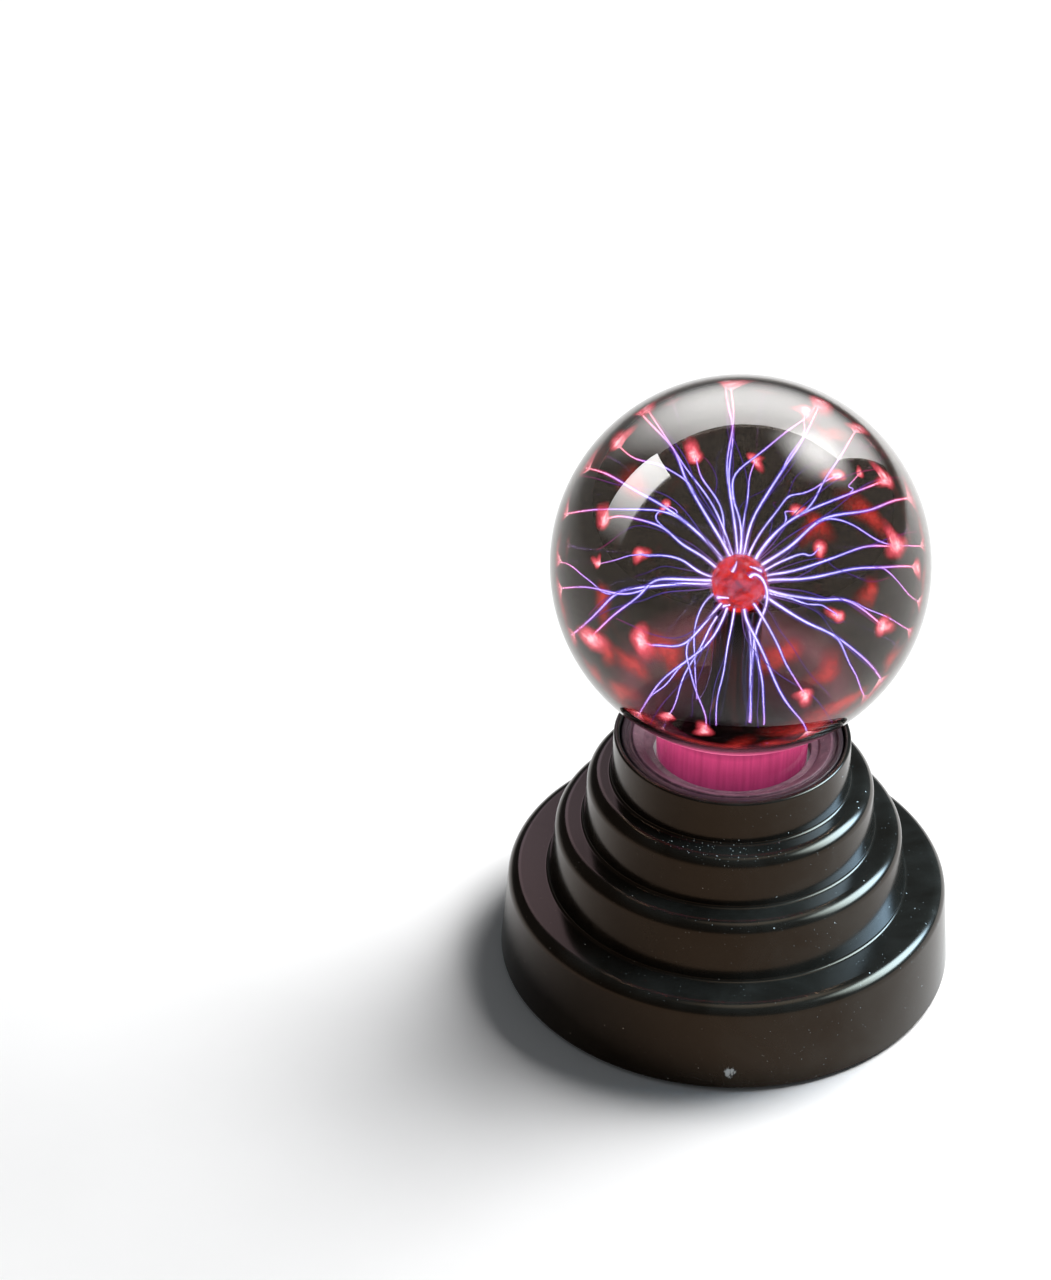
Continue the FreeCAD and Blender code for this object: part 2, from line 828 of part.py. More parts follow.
def make_cover_screws():
    """Four self-tapping screws, heads down in the cover's recesses."""
    seat = "(foot_gap + counterbore_depth)"
    head_face = f"({seat} - screw_head_height)"
    slot_size = "screw_head_radius * 1.15"
    screws = []
    for i, (across, along) in enumerate(((1, 0), (0, 1), (-1, 0), (0, -1))):
        x = f"{across} * boss_circle_radius"
        y = f"{along} * boss_circle_radius"
        tip_foot = (x, y, f"{seat} + screw_length - screw_tip")
        head = rod(f"cover_head{i}", (x, y, head_face), "screw_head_radius", "screw_head_height")
        shank = rod(f"cover_shank{i}", (x, y, seat), "screw_radius", "screw_length - screw_tip")
        tip = taper(f"cover_tip{i}", tip_foot, "screw_radius", "screw_radius * 0.3", "screw_tip")
        slot = cross_recess(f"cover_slot{i}", (x, y, head_face), slot_size, "cross_slot_depth")
        screws.append(cut(f"cover_screw{i}", fuse(f"cover_blank{i}", head, shank, tip), slot))
    node(several("cover_screw_set", *screws), "cover_screws")


def make_feet():
    """Four rubber pads in the cover's recesses, with a softened lower edge."""
    feet = []
    reach = "foot_circle_radius * sqrt(0.5)"
    edge = "foot_edge"
    for i, (across, along) in enumerate(CORNERS):
        x = f"{across} * {reach}"
        y = f"{along} * {reach}"
        lower = taper(f"foot_edge{i}", (x, y, "0"), f"foot_radius - {edge}", "foot_radius", edge)
        upper = rod(f"foot_pad{i}", (x, y, edge), "foot_radius", f"foot_gap + foot_recess_depth - {edge}")
        feet.append(fuse(f"foot{i}", lower, upper))
    node(several("foot_set", *feet), "rubber_feet")


# ---------------------------------------------------------------- circuit board


def make_board():
    """Board notched round the rear screw boss, on four standoffs."""
    body = new_body("circuit_board")
    notch = "(boss_radius + board_notch_gap)"
    half_outline = [
        (notch, f"boss_circle_radius - {notch}"),
        (notch, "board_back"),
        ("board_back_half_width", "board_back"),
        ("board_half_width", "board_side_back"),
        ("board_half_width", "-board_side_front"),
        ("board_front_half_width", "-board_front"),
    ]
    other_half = [(f"-{x}", y) for x, y in reversed(half_outline)]
    outline = half_outline + other_half
    extrude(body, "board_plate", "Pad", "XY_Plane", "board_height", "board_thickness", corners=outline)
    for i, (across, along) in enumerate(CORNERS):
        extrude(
            body, f"board_hole{i}", "Pocket", "XY_Plane", BOARD_TOP, "board_thickness",
            circle=(f"{across} * standoff_x", f"{along} * standoff_y", "board_hole_radius"),
        )
    node(body, "circuit_board")


def make_board_screws():
    screws = []
    for i, (across, along) in enumerate(CORNERS):
        x = f"{across} * standoff_x"
        y = f"{along} * standoff_y"
        shank_foot = (x, y, f"{BOARD_TOP} - board_screw_length")
        slot_foot = (x, y, f"{BOARD_TOP} + board_screw_head_height - cross_slot_depth")
        shank = rod(f"board_shank{i}", shank_foot, "board_screw_radius", "board_screw_length")
        head = rod(f"board_head{i}", (x, y, BOARD_TOP), "board_screw_head_radius", "board_screw_head_height")
        slot = cross_recess(f"board_slot{i}", slot_foot, "board_screw_head_radius * 1.15", "cross_slot_depth")
        screws.append(cut(f"board_screw{i}", fuse(f"board_blank{i}", shank, head), slot))
    node(several("board_screw_set", *screws), "board_screws")


CORE_FOOT = f"({BOARD_TOP} + core_lower_gap)"
BOBBIN_FOOT = f"({CORE_FOOT} + core_yoke + core_air_gap)"
BOBBIN_HEIGHT = "(winding_height + 2 * bobbin_flange)"
BOBBIN_TOP = f"({BOBBIN_FOOT} + {BOBBIN_HEIGHT})"
DIVIDER_HEIGHT = f"({BOBBIN_FOOT} + bobbin_flange + winding_height * primary_share)"


def make_transformer_core():
    """Two E-shaped halves that meet halfway up their legs."""
    window = f"({CORE_FOOT} + core_yoke)"
    leg = f"(core_air_gap + {BOBBIN_HEIGHT} / 2)"
    split = f"({window} + {leg})"
    front = "transformer_y - core_depth / 2"
    halves = []
    for half, yoke_z, leg_z in (("lower", CORE_FOOT, window), ("upper", f"{split} + {leg}", split)):
        yoke_corner = ("-core_width / 2", front, yoke_z)
        pieces = [
            block(f"{half}_yoke", yoke_corner, ("core_width", "core_depth", "core_yoke")),
            rod(f"{half}_centre_leg", ("0", "transformer_y", leg_z), "core_centre_radius", leg),
        ]
        for side, x in (("left", "-core_width / 2"), ("right", "core_width / 2 - core_leg")):
            pieces.append(block(f"{half}_{side}_leg", (x, front, leg_z), ("core_leg", "core_depth", leg)))
        halves.append(fuse(f"core_{half}", *pieces))
    node(several("core_halves", *halves), "transformer_core")


def make_bobbin():
    """Two-section spool on two feet, bored for the core's centre legs."""
    spool = [rod("bobbin_tube", ("0", "transformer_y", BOBBIN_FOOT), "bobbin_tube_radius", BOBBIN_HEIGHT)]
    for i, height in enumerate((BOBBIN_FOOT, DIVIDER_HEIGHT, f"{BOBBIN_TOP} - bobbin_flange")):
        place = ("0", "transformer_y", height)
        spool.append(rod(f"bobbin_flange{i}", place, "bobbin_flange_radius", "bobbin_flange"))
    foot_size = ("2 * bobbin_foot_half_width", "bobbin_foot_depth", f"{BOBBIN_FOOT} - {BOARD_TOP} + 0.5")
    for i, y in enumerate(("core_depth / 2 + 0.3", "-core_depth / 2 - 0.3 - bobbin_foot_depth")):
        place = ("-bobbin_foot_half_width", f"transformer_y + {y}", BOARD_TOP)
        spool.append(block(f"bobbin_foot{i}", place, foot_size))
    through = f"{BOBBIN_TOP} - {BOARD_TOP} + 1"
    bore = rod("bobbin_bore", ("0", "transformer_y", BOARD_TOP), "bobbin_bore_radius", through)
    node(cut("bobbin", fuse("bobbin_spool", *spool), bore), "transformer_bobbin")


def make_windings():
    """A copper primary in the lower section and a taped secondary in the upper one."""
    primary_foot = f"({BOBBIN_FOOT} + bobbin_flange)"
    secondary_foot = f"({DIVIDER_HEIGHT} + bobbin_flange)"
    for label, radius, foot, top in (
        ("primary_winding", "primary_radius", primary_foot, DIVIDER_HEIGHT),
        ("secondary_winding", "secondary_radius", secondary_foot, f"({BOBBIN_TOP} - bobbin_flange)"),
    ):
        outer = rod(f"{label}_outer", ("0", "transformer_y", foot), radius, f"{top} - {foot}")
        hollow = rod(f"{label}_hollow", ("0", "transformer_y", foot), "bobbin_tube_radius", f"{top} - {foot}")
        node(cut(f"{label}_coil", outer, hollow), label)


def make_power_stage():
    """Power transistor screwed to a finned heatsink."""
    y = "transistor_y"
    left = f"({y} - transistor_width / 2)"
    base = f"({BOARD_TOP} + transistor_lift)"
    screw_height = f"({base} + tab_hole_height)"
    case_size = ("transistor_thickness", "transistor_width", "transistor_height")
    node(block("transistor_case", ("transistor_x", left, base), case_size), "transistor_body")
    tab_x = "(transistor_x + transistor_thickness)"
    tab = block("tab_plate", (tab_x, left, base), ("tab_thickness", "transistor_width", "tab_height"))
    tab_hole = rod("tab_hole", (tab_x, y, screw_height), "tab_hole_radius", "tab_thickness", "right")
    node(cut("tab", tab, tab_hole), "transistor_tab")

    sink_x = f"({tab_x} + tab_thickness)"
    sink_left = f"({y} - heatsink_width / 2)"
    plate_size = ("heatsink_thickness", "heatsink_width", "heatsink_height")
    fin_size = ("heatsink_thickness + heatsink_fin", "heatsink_thickness", "heatsink_height + heatsink_foot")
    plates = [block("sink_plate", (sink_x, sink_left, f"{BOARD_TOP} + heatsink_foot"), plate_size)]
    for i in range(FIN_COUNT):
        fin_y = f"{sink_left} + {i} * (heatsink_width - heatsink_thickness) / {FIN_COUNT - 1}"
        plates.append(block(f"sink_fin{i}", (sink_x, fin_y, BOARD_TOP), fin_size))
    hole_radius = "sink_screw_radius + 0.05"
    sink_hole = rod("sink_hole", (sink_x, y, screw_height), hole_radius, "heatsink_thickness", "right")
    node(cut("sink", fuse("sink_blank", *plates), sink_hole), "heatsink")

    head_foot = (f"{tab_x} - sink_screw_head_height", y, screw_height)
    head = rod("sink_screw_head", head_foot, "sink_screw_head_radius", "sink_screw_head_height", "right")
    reach = "tab_thickness + heatsink_thickness + 0.8"
    shank = rod("sink_screw_shank", (tab_x, y, screw_height), "sink_screw_radius", reach, "right")
    node(fuse("sink_screw", head, shank), "heatsink_screw")
    for i in (-1, 0, 1):
        place = (f"{tab_x} - 1.2", f"{y} + {i} * lead_pitch - flat_lead_width / 2", BOARD_TOP)
        size = ("flat_lead", "flat_lead_width", "transistor_lift")
        leads.append(block(f"transistor_lead{i + 1}", place, size))
        solder_at(f"{tab_x} - 0.95", f"{y} + {i} * lead_pitch")


def solder_at(x, y):
    """A small cone of solder under the board."""
    name = f"solder{len(solder)}"
    place = (x, y, "board_height")
    solder.append(taper(name, place, "solder_radius", "lead_radius", "solder_height", "down"))


def lead_at(x, y, height, radius="lead_radius"):
    """A straight lead that stands on the board, with its solder below."""
    leads.append(rod(f"lead{len(leads)}", (x, y, BOARD_TOP), radius, height))
    solder_at(x, y)


def make_capacitors():
    """Electrolytic cans with a crimp near the foot, one film block and three ceramic discs."""
    cans = []
    base = f"({BOARD_TOP} + can_lift)"
    for i, (x, y, radius, height) in enumerate(CAN_PLACES):
        crimp = f"({base} + {height} * 0.12)"
        above = f"({base} + {height} * 0.18)"
        foot = rod(f"can_foot{i}", (x, y, base), radius, f"{height} * 0.12")
        waist = rod(f"can_waist{i}", (x, y, crimp), f"{radius} - can_crimp", f"{height} * 0.06")
        upper = rod(f"can_top{i}", (x, y, above), radius, f"{height} * 0.82")
        cans.append(fuse(f"can{i}", foot, waist, upper))
        for side in (-1, 1):
            lead_at(f"{x} + {side} * {radius} / 2", y, "can_lift")
    node(several("can_set", *cans), "electrolytic_capacitors")

    film_corner = ("film_x", "film_y", f"{BOARD_TOP} + film_lift")
    node(block("film_case", film_corner, ("film_length", "film_width", "film_height")), "film_capacitor")
    for end in ("film_lead_inset", "film_length - film_lead_inset"):
        lead_at(f"film_x + {end}", "film_y + film_width / 2", "film_lift")

    discs = []
    for i, (x, y) in enumerate(DISC_PLACES):
        place = (x, f"{y} - disc_thickness / 2", f"{BOARD_TOP} + disc_centre_lift")
        discs.append(rod(f"disc{i}", place, "disc_radius", "disc_thickness", "back"))
        for side in (-1, 1):
            lead_at(f"{x} + {side} * lead_pitch / 2", y, "disc_centre_lift - disc_radius + 0.1")
    node(several("disc_set", *discs), "ceramic_capacitors")


def make_resistors():
    """Resistors lying on the board, each lead running out and bent down."""
    tubes = []
    axis = f"({BOARD_TOP} + resistor_lift)"
    for i, (x, y) in enumerate(RESISTOR_PLACES):
        tubes.append(rod(f"resistor{i}", (x, y, axis), "resistor_radius", "resistor_length", "right"))
        for end, start, leg in (
            ("a", f"{x} - resistor_lead - lead_radius", f"{x} - resistor_lead"),
            ("b", f"{x} + resistor_length", f"{x} + resistor_length + resistor_lead"),
        ):
            length = "resistor_lead + lead_radius"
            across = rod(f"resistor_run{i}{end}", (start, y, axis), "lead_radius", length, "right")
            down = rod(f"resistor_leg{i}{end}", (leg, y, BOARD_TOP), "lead_radius * 0.9", "resistor_lift")
            leads.append(fuse(f"resistor_wire{i}{end}", across, down))
            solder_at(leg, y)
    node(several("resistor_set", *tubes), "resistors")


def make_chips():
    """Two small transistors with a flat side, and the control chip with its corner mark."""
    cases = []
    lift = f"({BOARD_TOP} + small_case_lift)"
    for i, (x, y) in enumerate(SMALL_TRANSISTOR_PLACES):
        case = rod(f"small_case{i}", (x, y, lift), "small_case_radius", "small_case_height")
        flat_corner = (f"{x} - small_case_radius", f"{y} + small_case_radius * 0.55", lift)
        flat_size = ("2 * small_case_radius", "small_case_radius", "small_case_height")
        cases.append(cut(f"small_transistor{i}", case, block(f"small_flat{i}", flat_corner, flat_size)))
        for k in (-1, 0, 1):
            lead_at(f"{x} + {k} * lead_pitch / 2", y, "small_case_lift")
    node(several("small_transistor_set", *cases), "small_transistors")

    case_corner = ("chip_x", "chip_y", f"{BOARD_TOP} + chip_lift")
    case = block("chip_case", case_corner, ("chip_length", "chip_width", "chip_height"))
    mark_centre = ("chip_x + 0.9", "chip_y + chip_width / 2", f"{BOARD_TOP} + chip_lift + chip_height - 0.3")
    node(cut("chip", case, rod("chip_mark", mark_centre, "0.6", "1")), "control_chip")
    leg_size = ("flat_lead", "chip_leg", f"chip_lift + chip_height / 2")
    for k in range(4):
        for y in ("chip_y - chip_leg", "chip_y + chip_width"):
            place = (f"chip_x + 0.65 + {k} * lead_pitch", y, BOARD_TOP)
            leads.append(block(f"chip_leg{len(leads)}", place, leg_size))
            solder_at(f"{place[0]} + flat_lead / 2", f"{y} + chip_leg / 2")


def make_microphone():
    """Capsule in a rubber boot behind the port in the housing, both turned from +Y about Z."""
    start = "(microphone_front - microphone_boot_length)"
    pocket_length = "(microphone_boot_length - microphone_boot_lip)"
    foot = ("0", start, MICROPHONE_AXIS)
    capsule_foot = ("0", f"{start} + {pocket_length} - microphone_length", MICROPHONE_AXIS)
    capsule = rod("capsule", capsule_foot, "microphone_radius", "microphone_length", "back")
    boot = rod("boot_outer", foot, "microphone_boot_radius", "microphone_boot_length", "back")
    pocket = rod("boot_pocket", foot, "microphone_radius", pocket_length, "back")
    port = rod("boot_port", foot, "microphone_port_radius", "microphone_boot_length", "back")
    boot_shell = cut("boot", boot, fuse("boot_space", pocket, port))
    for shape, label in ((capsule, "microphone_capsule"), (boot_shell, "microphone_boot")):
        turned_part = several(f"{label}_turned", shape)
        upright = FreeCAD.Rotation(FreeCAD.Vector(0, 0, 1), number("microphone_angle"))
        turned_part.Placement = FreeCAD.Placement(FreeCAD.Vector(), upright)
        turned_part.setExpression("Placement.Rotation.Angle", bound("microphone_angle"))
        node(turned_part, label)


def make_jack():
    """Barrel power socket: housing, centre pin and spring contact."""
    axis = f"({BOARD_TOP} + jack_axis_lift)"
    bore_end = ("jack_x", "jack_front - jack_bore_depth", axis)
    case_corner = ("jack_x - jack_width / 2", "jack_front - jack_length", BOARD_TOP)
    case = block("jack_case", case_corner, ("jack_width", "jack_length", "jack_height"))
    bore = rod("jack_bore", bore_end, "jack_bore_radius", "jack_bore_depth", "back")
    node(cut("jack", case, bore), "jack_body")
    straight = "(jack_bore_depth - jack_pin_setback - jack_pin_taper)"
    pin = rod("pin_stem", bore_end, "jack_pin_radius", straight, "back")
    tip_foot = ("jack_x", f"jack_front - jack_bore_depth + {straight}", axis)
    tip = taper("pin_tip", tip_foot, "jack_pin_radius", "jack_pin_radius * 0.6", "jack_pin_taper", "back")
    node(fuse("pin", pin, tip), "jack_pin")
    leaf_corner = ("jack_x - 0.9", "jack_front - jack_bore_depth", f"{axis} - 2.85")
    node(block("contact_leaf", leaf_corner, ("1.8", "jack_bore_depth - 2.5", "0.25")), "jack_contact")
    for y in ("jack_front - 11", "jack_front - 5"):
        solder_at("jack_x", y)


SWITCH_LEFT = "(switch_x - switch_width / 2)"
SWITCH_BACK = "(switch_front - switch_depth)"
SWITCH_FOOT = f"({BOARD_TOP} + switch_lift)"
SWITCH_INSIDE = (f"{SWITCH_LEFT} + switch_sheet", SWITCH_BACK, f"{SWITCH_FOOT} + switch_sheet")
SWITCH_INSIDE_WIDTH = "(switch_width - 2 * switch_sheet)"
SWITCH_INSIDE_HEIGHT = "(switch_height - 2 * switch_sheet)"
CARRIAGE_BACK = f"({SWITCH_BACK} + terminal_plate + contact_leaf + 0.25)"


def make_switch_frame():
    """Steel can open at the back, with two legs, and the terminal plate that closes it."""
    can_corner = (SWITCH_LEFT, SWITCH_BACK, SWITCH_FOOT)
    can = block("can_outer", can_corner, ("switch_width", "switch_depth", "switch_height"))
    legs = []
    for i, x in enumerate((SWITCH_LEFT, f"{SWITCH_LEFT} + switch_width - switch_leg")):
        place = (x, f"{SWITCH_BACK} + 1.5", BOARD_TOP)
        legs.append(block(f"can_leg{i}", place, ("switch_leg", "2.5", "switch_lift + 0.1")))
    hollow_size = (SWITCH_INSIDE_WIDTH, "switch_depth - switch_sheet", SWITCH_INSIDE_HEIGHT)
    hollow = block("can_hollow", SWITCH_INSIDE, hollow_size)
    half = "(handle_width / 2 + slider_travel + switch_slot_gap)"
    slot_low = f"{SWITCH_AXIS} - handle_height / 2 - switch_slot_gap"
    slot_size = (f"2 * {half}", "2", "handle_height + 2 * switch_slot_gap")
    slot = block("can_slot", (f"switch_x - {half}", "switch_front - 1", slot_low), slot_size)
    node(cut("can", fuse("can_blank", can, *legs), fuse("can_space", hollow, slot)), "switch_can")
    plate_size = (SWITCH_INSIDE_WIDTH, "terminal_plate", SWITCH_INSIDE_HEIGHT)
    node(block("plate", SWITCH_INSIDE, plate_size), "switch_base")
    pads = []
    for i in range(4):
        pad_x = f"switch_x + {i - 1.5} * lead_pitch"
        pad_corner = (f"{pad_x} - 0.7", f"{SWITCH_BACK} + terminal_plate", f"{SWITCH_AXIS} - 1")
        pads.append(block(f"pad{i}", pad_corner, ("1.4", "contact_leaf", "2")))
        solder_at(pad_x, f"{SWITCH_BACK} + terminal_plate / 2")
    node(several("pad_set", *pads), "switch_contacts")


def make_slider():
    """Carriage with the ribbed handle that reaches out of the housing, and the wiper on its back."""
    carriage_corner = ("switch_x - slider_width / 2", CARRIAGE_BACK, f"{SWITCH_FOOT} + switch_sheet + 0.2")
    carriage_depth = f"switch_front - switch_sheet - 0.15 - {CARRIAGE_BACK}"
    carriage_size = ("slider_width", carriage_depth, f"{SWITCH_INSIDE_HEIGHT} - 0.4")
    carriage = block("carriage", carriage_corner, carriage_size)
    handle_low = f"{SWITCH_AXIS} - handle_height / 2"
    handle_size = ("handle_width", "handle_tip - switch_front + 1.5", "handle_height")
    handle = block("handle", ("switch_x - handle_width / 2", "switch_front - 1.5", handle_low), handle_size)
    grooves = []
    for i in (-1, 0, 1):
        corner = (f"switch_x - 0.2 + {i} * 0.75", "handle_tip - 0.35", f"{SWITCH_AXIS} - handle_height")
        grooves.append(block(f"handle_groove{i + 1}", corner, ("0.4", "1", "2 * handle_height")))
    blank = fuse("slider_blank", carriage, handle)
    node(cut("slider", blank, fuse("grip_grooves", *grooves)), "switch_slider")
    wiper_corner = ("switch_x - 2.5", f"{CARRIAGE_BACK} - contact_leaf", f"{SWITCH_AXIS} - 1.2")
    node(block("wiper_plate", wiper_corner, ("5", "contact_leaf", "2.4")), "switch_wiper")


def make_high_voltage_wire():
    """Insulated wire from the coil's top flange to the axis, then straight up the stem into the wool."""
    wire_y = "transformer_y + core_depth / 2 + 1.6"
    bends = [("0", wire_y, "wire_lower_bend"), ("0", "0", "wire_upper_bend")]
    route = [("0", wire_y, BOBBIN_TOP), *bends, ("0", "0", "wool_end_height")]
    wire_tube("high_voltage_lead", route, "high_voltage_wire_radius", "high_voltage_wire_bend")


def check_document():
    """Stops the build if any object failed, or a sub-part's shape is missing or invalid."""
    doc.recompute()
    for feature in doc.Objects:
        if "Invalid" in feature.State or "Error" in feature.State:
            raise RuntimeError(f"{feature.Name} ({feature.Label}) failed: {feature.State}")
    for feature in nodes:
        shape = feature.Shape
        if shape.isNull() or not shape.isValid() or not shape.Solids:
            raise RuntimeError(f"{feature.Label} has no valid solid")


def write_parts():
    os.makedirs("parts", exist_ok=True)
    for feature in nodes:
        feature.Shape.exportStep(f"parts/{feature.Label}.step")
    print(f"wrote {len(nodes)} sub-parts")


fill_sheet()
make_globe()
make_stem()
make_bulb()
make_bulb_filling()
make_exhaust_tip()
make_housing()
make_seat_ring()
make_sealant()
make_cover()
make_cover_screws()
make_feet()
make_board()
make_board_screws()
make_transformer_core()
make_bobbin()
make_windings()
make_power_stage()
make_capacitors()
make_resistors()
make_chips()
make_microphone()
make_jack()
make_switch_frame()
make_slider()
make_high_voltage_wire()
node(several("solder_set", *solder), "solder_joints")
node(several("lead_set", *leads), "component_leads")
check_document()
write_parts()
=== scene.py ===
import math
import random

import bmesh
import bpy
from mathutils import Euler, Matrix, Vector


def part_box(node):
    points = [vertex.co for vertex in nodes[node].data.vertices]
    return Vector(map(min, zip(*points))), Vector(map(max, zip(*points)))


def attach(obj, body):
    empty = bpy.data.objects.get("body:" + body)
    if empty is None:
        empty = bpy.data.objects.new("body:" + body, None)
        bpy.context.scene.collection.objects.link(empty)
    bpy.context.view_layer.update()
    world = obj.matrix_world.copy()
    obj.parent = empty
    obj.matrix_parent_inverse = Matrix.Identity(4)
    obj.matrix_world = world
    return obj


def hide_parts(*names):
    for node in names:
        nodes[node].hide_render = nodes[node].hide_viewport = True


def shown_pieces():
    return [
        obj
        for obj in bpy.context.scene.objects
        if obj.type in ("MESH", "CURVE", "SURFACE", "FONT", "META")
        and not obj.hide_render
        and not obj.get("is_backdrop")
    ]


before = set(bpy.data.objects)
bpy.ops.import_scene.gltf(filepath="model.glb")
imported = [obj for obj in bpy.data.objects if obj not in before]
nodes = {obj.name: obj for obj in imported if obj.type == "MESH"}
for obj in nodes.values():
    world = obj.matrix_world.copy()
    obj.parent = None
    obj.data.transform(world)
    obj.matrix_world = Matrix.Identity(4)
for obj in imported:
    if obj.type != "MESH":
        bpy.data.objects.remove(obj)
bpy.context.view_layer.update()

MM = 0.001
globe_low, globe_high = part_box("glass_globe")
GLOBE_RADIUS = (globe_high.x - globe_low.x) / 2
GLOBE_CENTRE = Vector((0, 0, globe_high.z - GLOBE_RADIUS))
GLOBE_WALL = 1.2 * MM
INSIDE_RADIUS = GLOBE_RADIUS - GLOBE_WALL
bulb_low, bulb_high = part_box("electrode_bulb")
BULB_RADIUS = (bulb_high.x - bulb_low.x) / 2
BULB_CENTRE = Vector((0, 0, bulb_high.z - BULB_RADIUS))


# ---- working by hand: selecting, turning, joining ----

def deselect():
    """Leaves nothing selected, because an operator acts on all that is."""
    bpy.ops.object.select_all(action="DESELECT")


def pick(*pieces):
    """Selects these pieces alone and makes the first one active."""
    deselect()
    for piece in pieces:
        piece.select_set(True)
    bpy.context.view_layer.objects.active = pieces[0]


def settle(piece, name, smooth_angle=35):
    """Names a finished piece, puts its place in its mesh and shades its round faces smooth."""
    pick(piece)
    piece.name = name
    piece.data.name = name
    bpy.ops.object.transform_apply(location=True, rotation=True, scale=True)
    bpy.ops.object.shade_smooth_by_angle(angle=math.radians(smooth_angle))
    deselect()
    return piece


def weld(distance=0.002 * MM):
    """Merges doubled points of the piece in edit mode and turns all its faces outwards."""
    bpy.ops.mesh.select_all(action="SELECT")
    bpy.ops.mesh.remove_doubles(threshold=distance)
    bpy.ops.mesh.normals_make_consistent(inside=False)


def arc(centre, radius, start, end, steps):
    """Points of (radius from the axis, height) on an arc round a centre, between two angles in degrees."""
    points = []
    for step in range(steps + 1):
        angle = math.radians(start + (end - start) * step / steps)
        points.append((centre[0] + radius * math.cos(angle), centre[1] + radius * math.sin(angle)))
    return points


def rounded(corners, steps=6):
    """An outline with its corners rounded: each corner is (radius, height) or (radius, height, rounding)."""
    points = []
    count = len(corners)
    for index, corner in enumerate(corners):
        here = Vector(corner[:2])
        if len(corner) < 3:
            points.append(tuple(here))
            continue
        back = (Vector(corners[index - 1][:2]) - here).normalized()
        on = (Vector(corners[(index + 1) % count][:2]) - here).normalized()
        half = back.angle(on) / 2
        middle = here + (back + on).normalized() * corner[2] / math.sin(half)
        first = here + back * corner[2] / math.tan(half) - middle
        sweep = first.angle_signed(here + on * corner[2] / math.tan(half) - middle)
        for step in range(steps + 1):
            turn = Matrix.Rotation(-sweep * step / steps, 2)
            points.append(tuple(middle + turn @ first))
    return points


def turn_outline(name, outline, sides=192):
    """A turned piece: a ring drawn along a closed outline of (radius, height) pairs, then welded."""
    deselect()
    radius, height = outline[0]
    bpy.ops.mesh.primitive_circle_add(vertices=sides, radius=radius, location=(0, 0, height))
    piece = bpy.context.object
    bpy.ops.object.mode_set(mode="EDIT")
    bpy.ops.mesh.select_all(action="SELECT")
    for next_radius, next_height in outline[1:] + [outline[0]]:
        lift = (0, 0, next_height - height)
        bpy.ops.mesh.extrude_region_move(TRANSFORM_OT_translate={"value": lift})
        scale = next_radius / radius
        bpy.ops.transform.resize(value=(scale, scale, 1), center_override=(0, 0, next_height))
        radius, height = next_radius, next_height
    weld()
    bpy.ops.object.mode_set(mode="OBJECT")
    close_poles(piece)
    return settle(piece, name)


def close_poles(piece, tiny=0.1 * MM):
    """Draws each tiny ring round the axis into a single point."""
    mesh = bmesh.new()
    mesh.from_mesh(piece.data)
    near_axis = [v for v in mesh.verts if math.hypot(v.co.x, v.co.y) < tiny]
    bmesh.ops.remove_doubles(mesh, verts=near_axis, dist=2 * tiny)
    mesh.to_mesh(piece.data)
    mesh.free()


def cut_away(piece, cutter):
    """Cuts one piece's shape out of another and removes the cutter."""
    pick(piece)
    modifier = piece.modifiers.new("cut", "BOOLEAN")
    modifier.operation = "DIFFERENCE"
    modifier.object = cutter
    bpy.ops.object.modifier_apply(modifier=modifier.name)
    bpy.data.objects.remove(cutter)


# ---- node materials ----

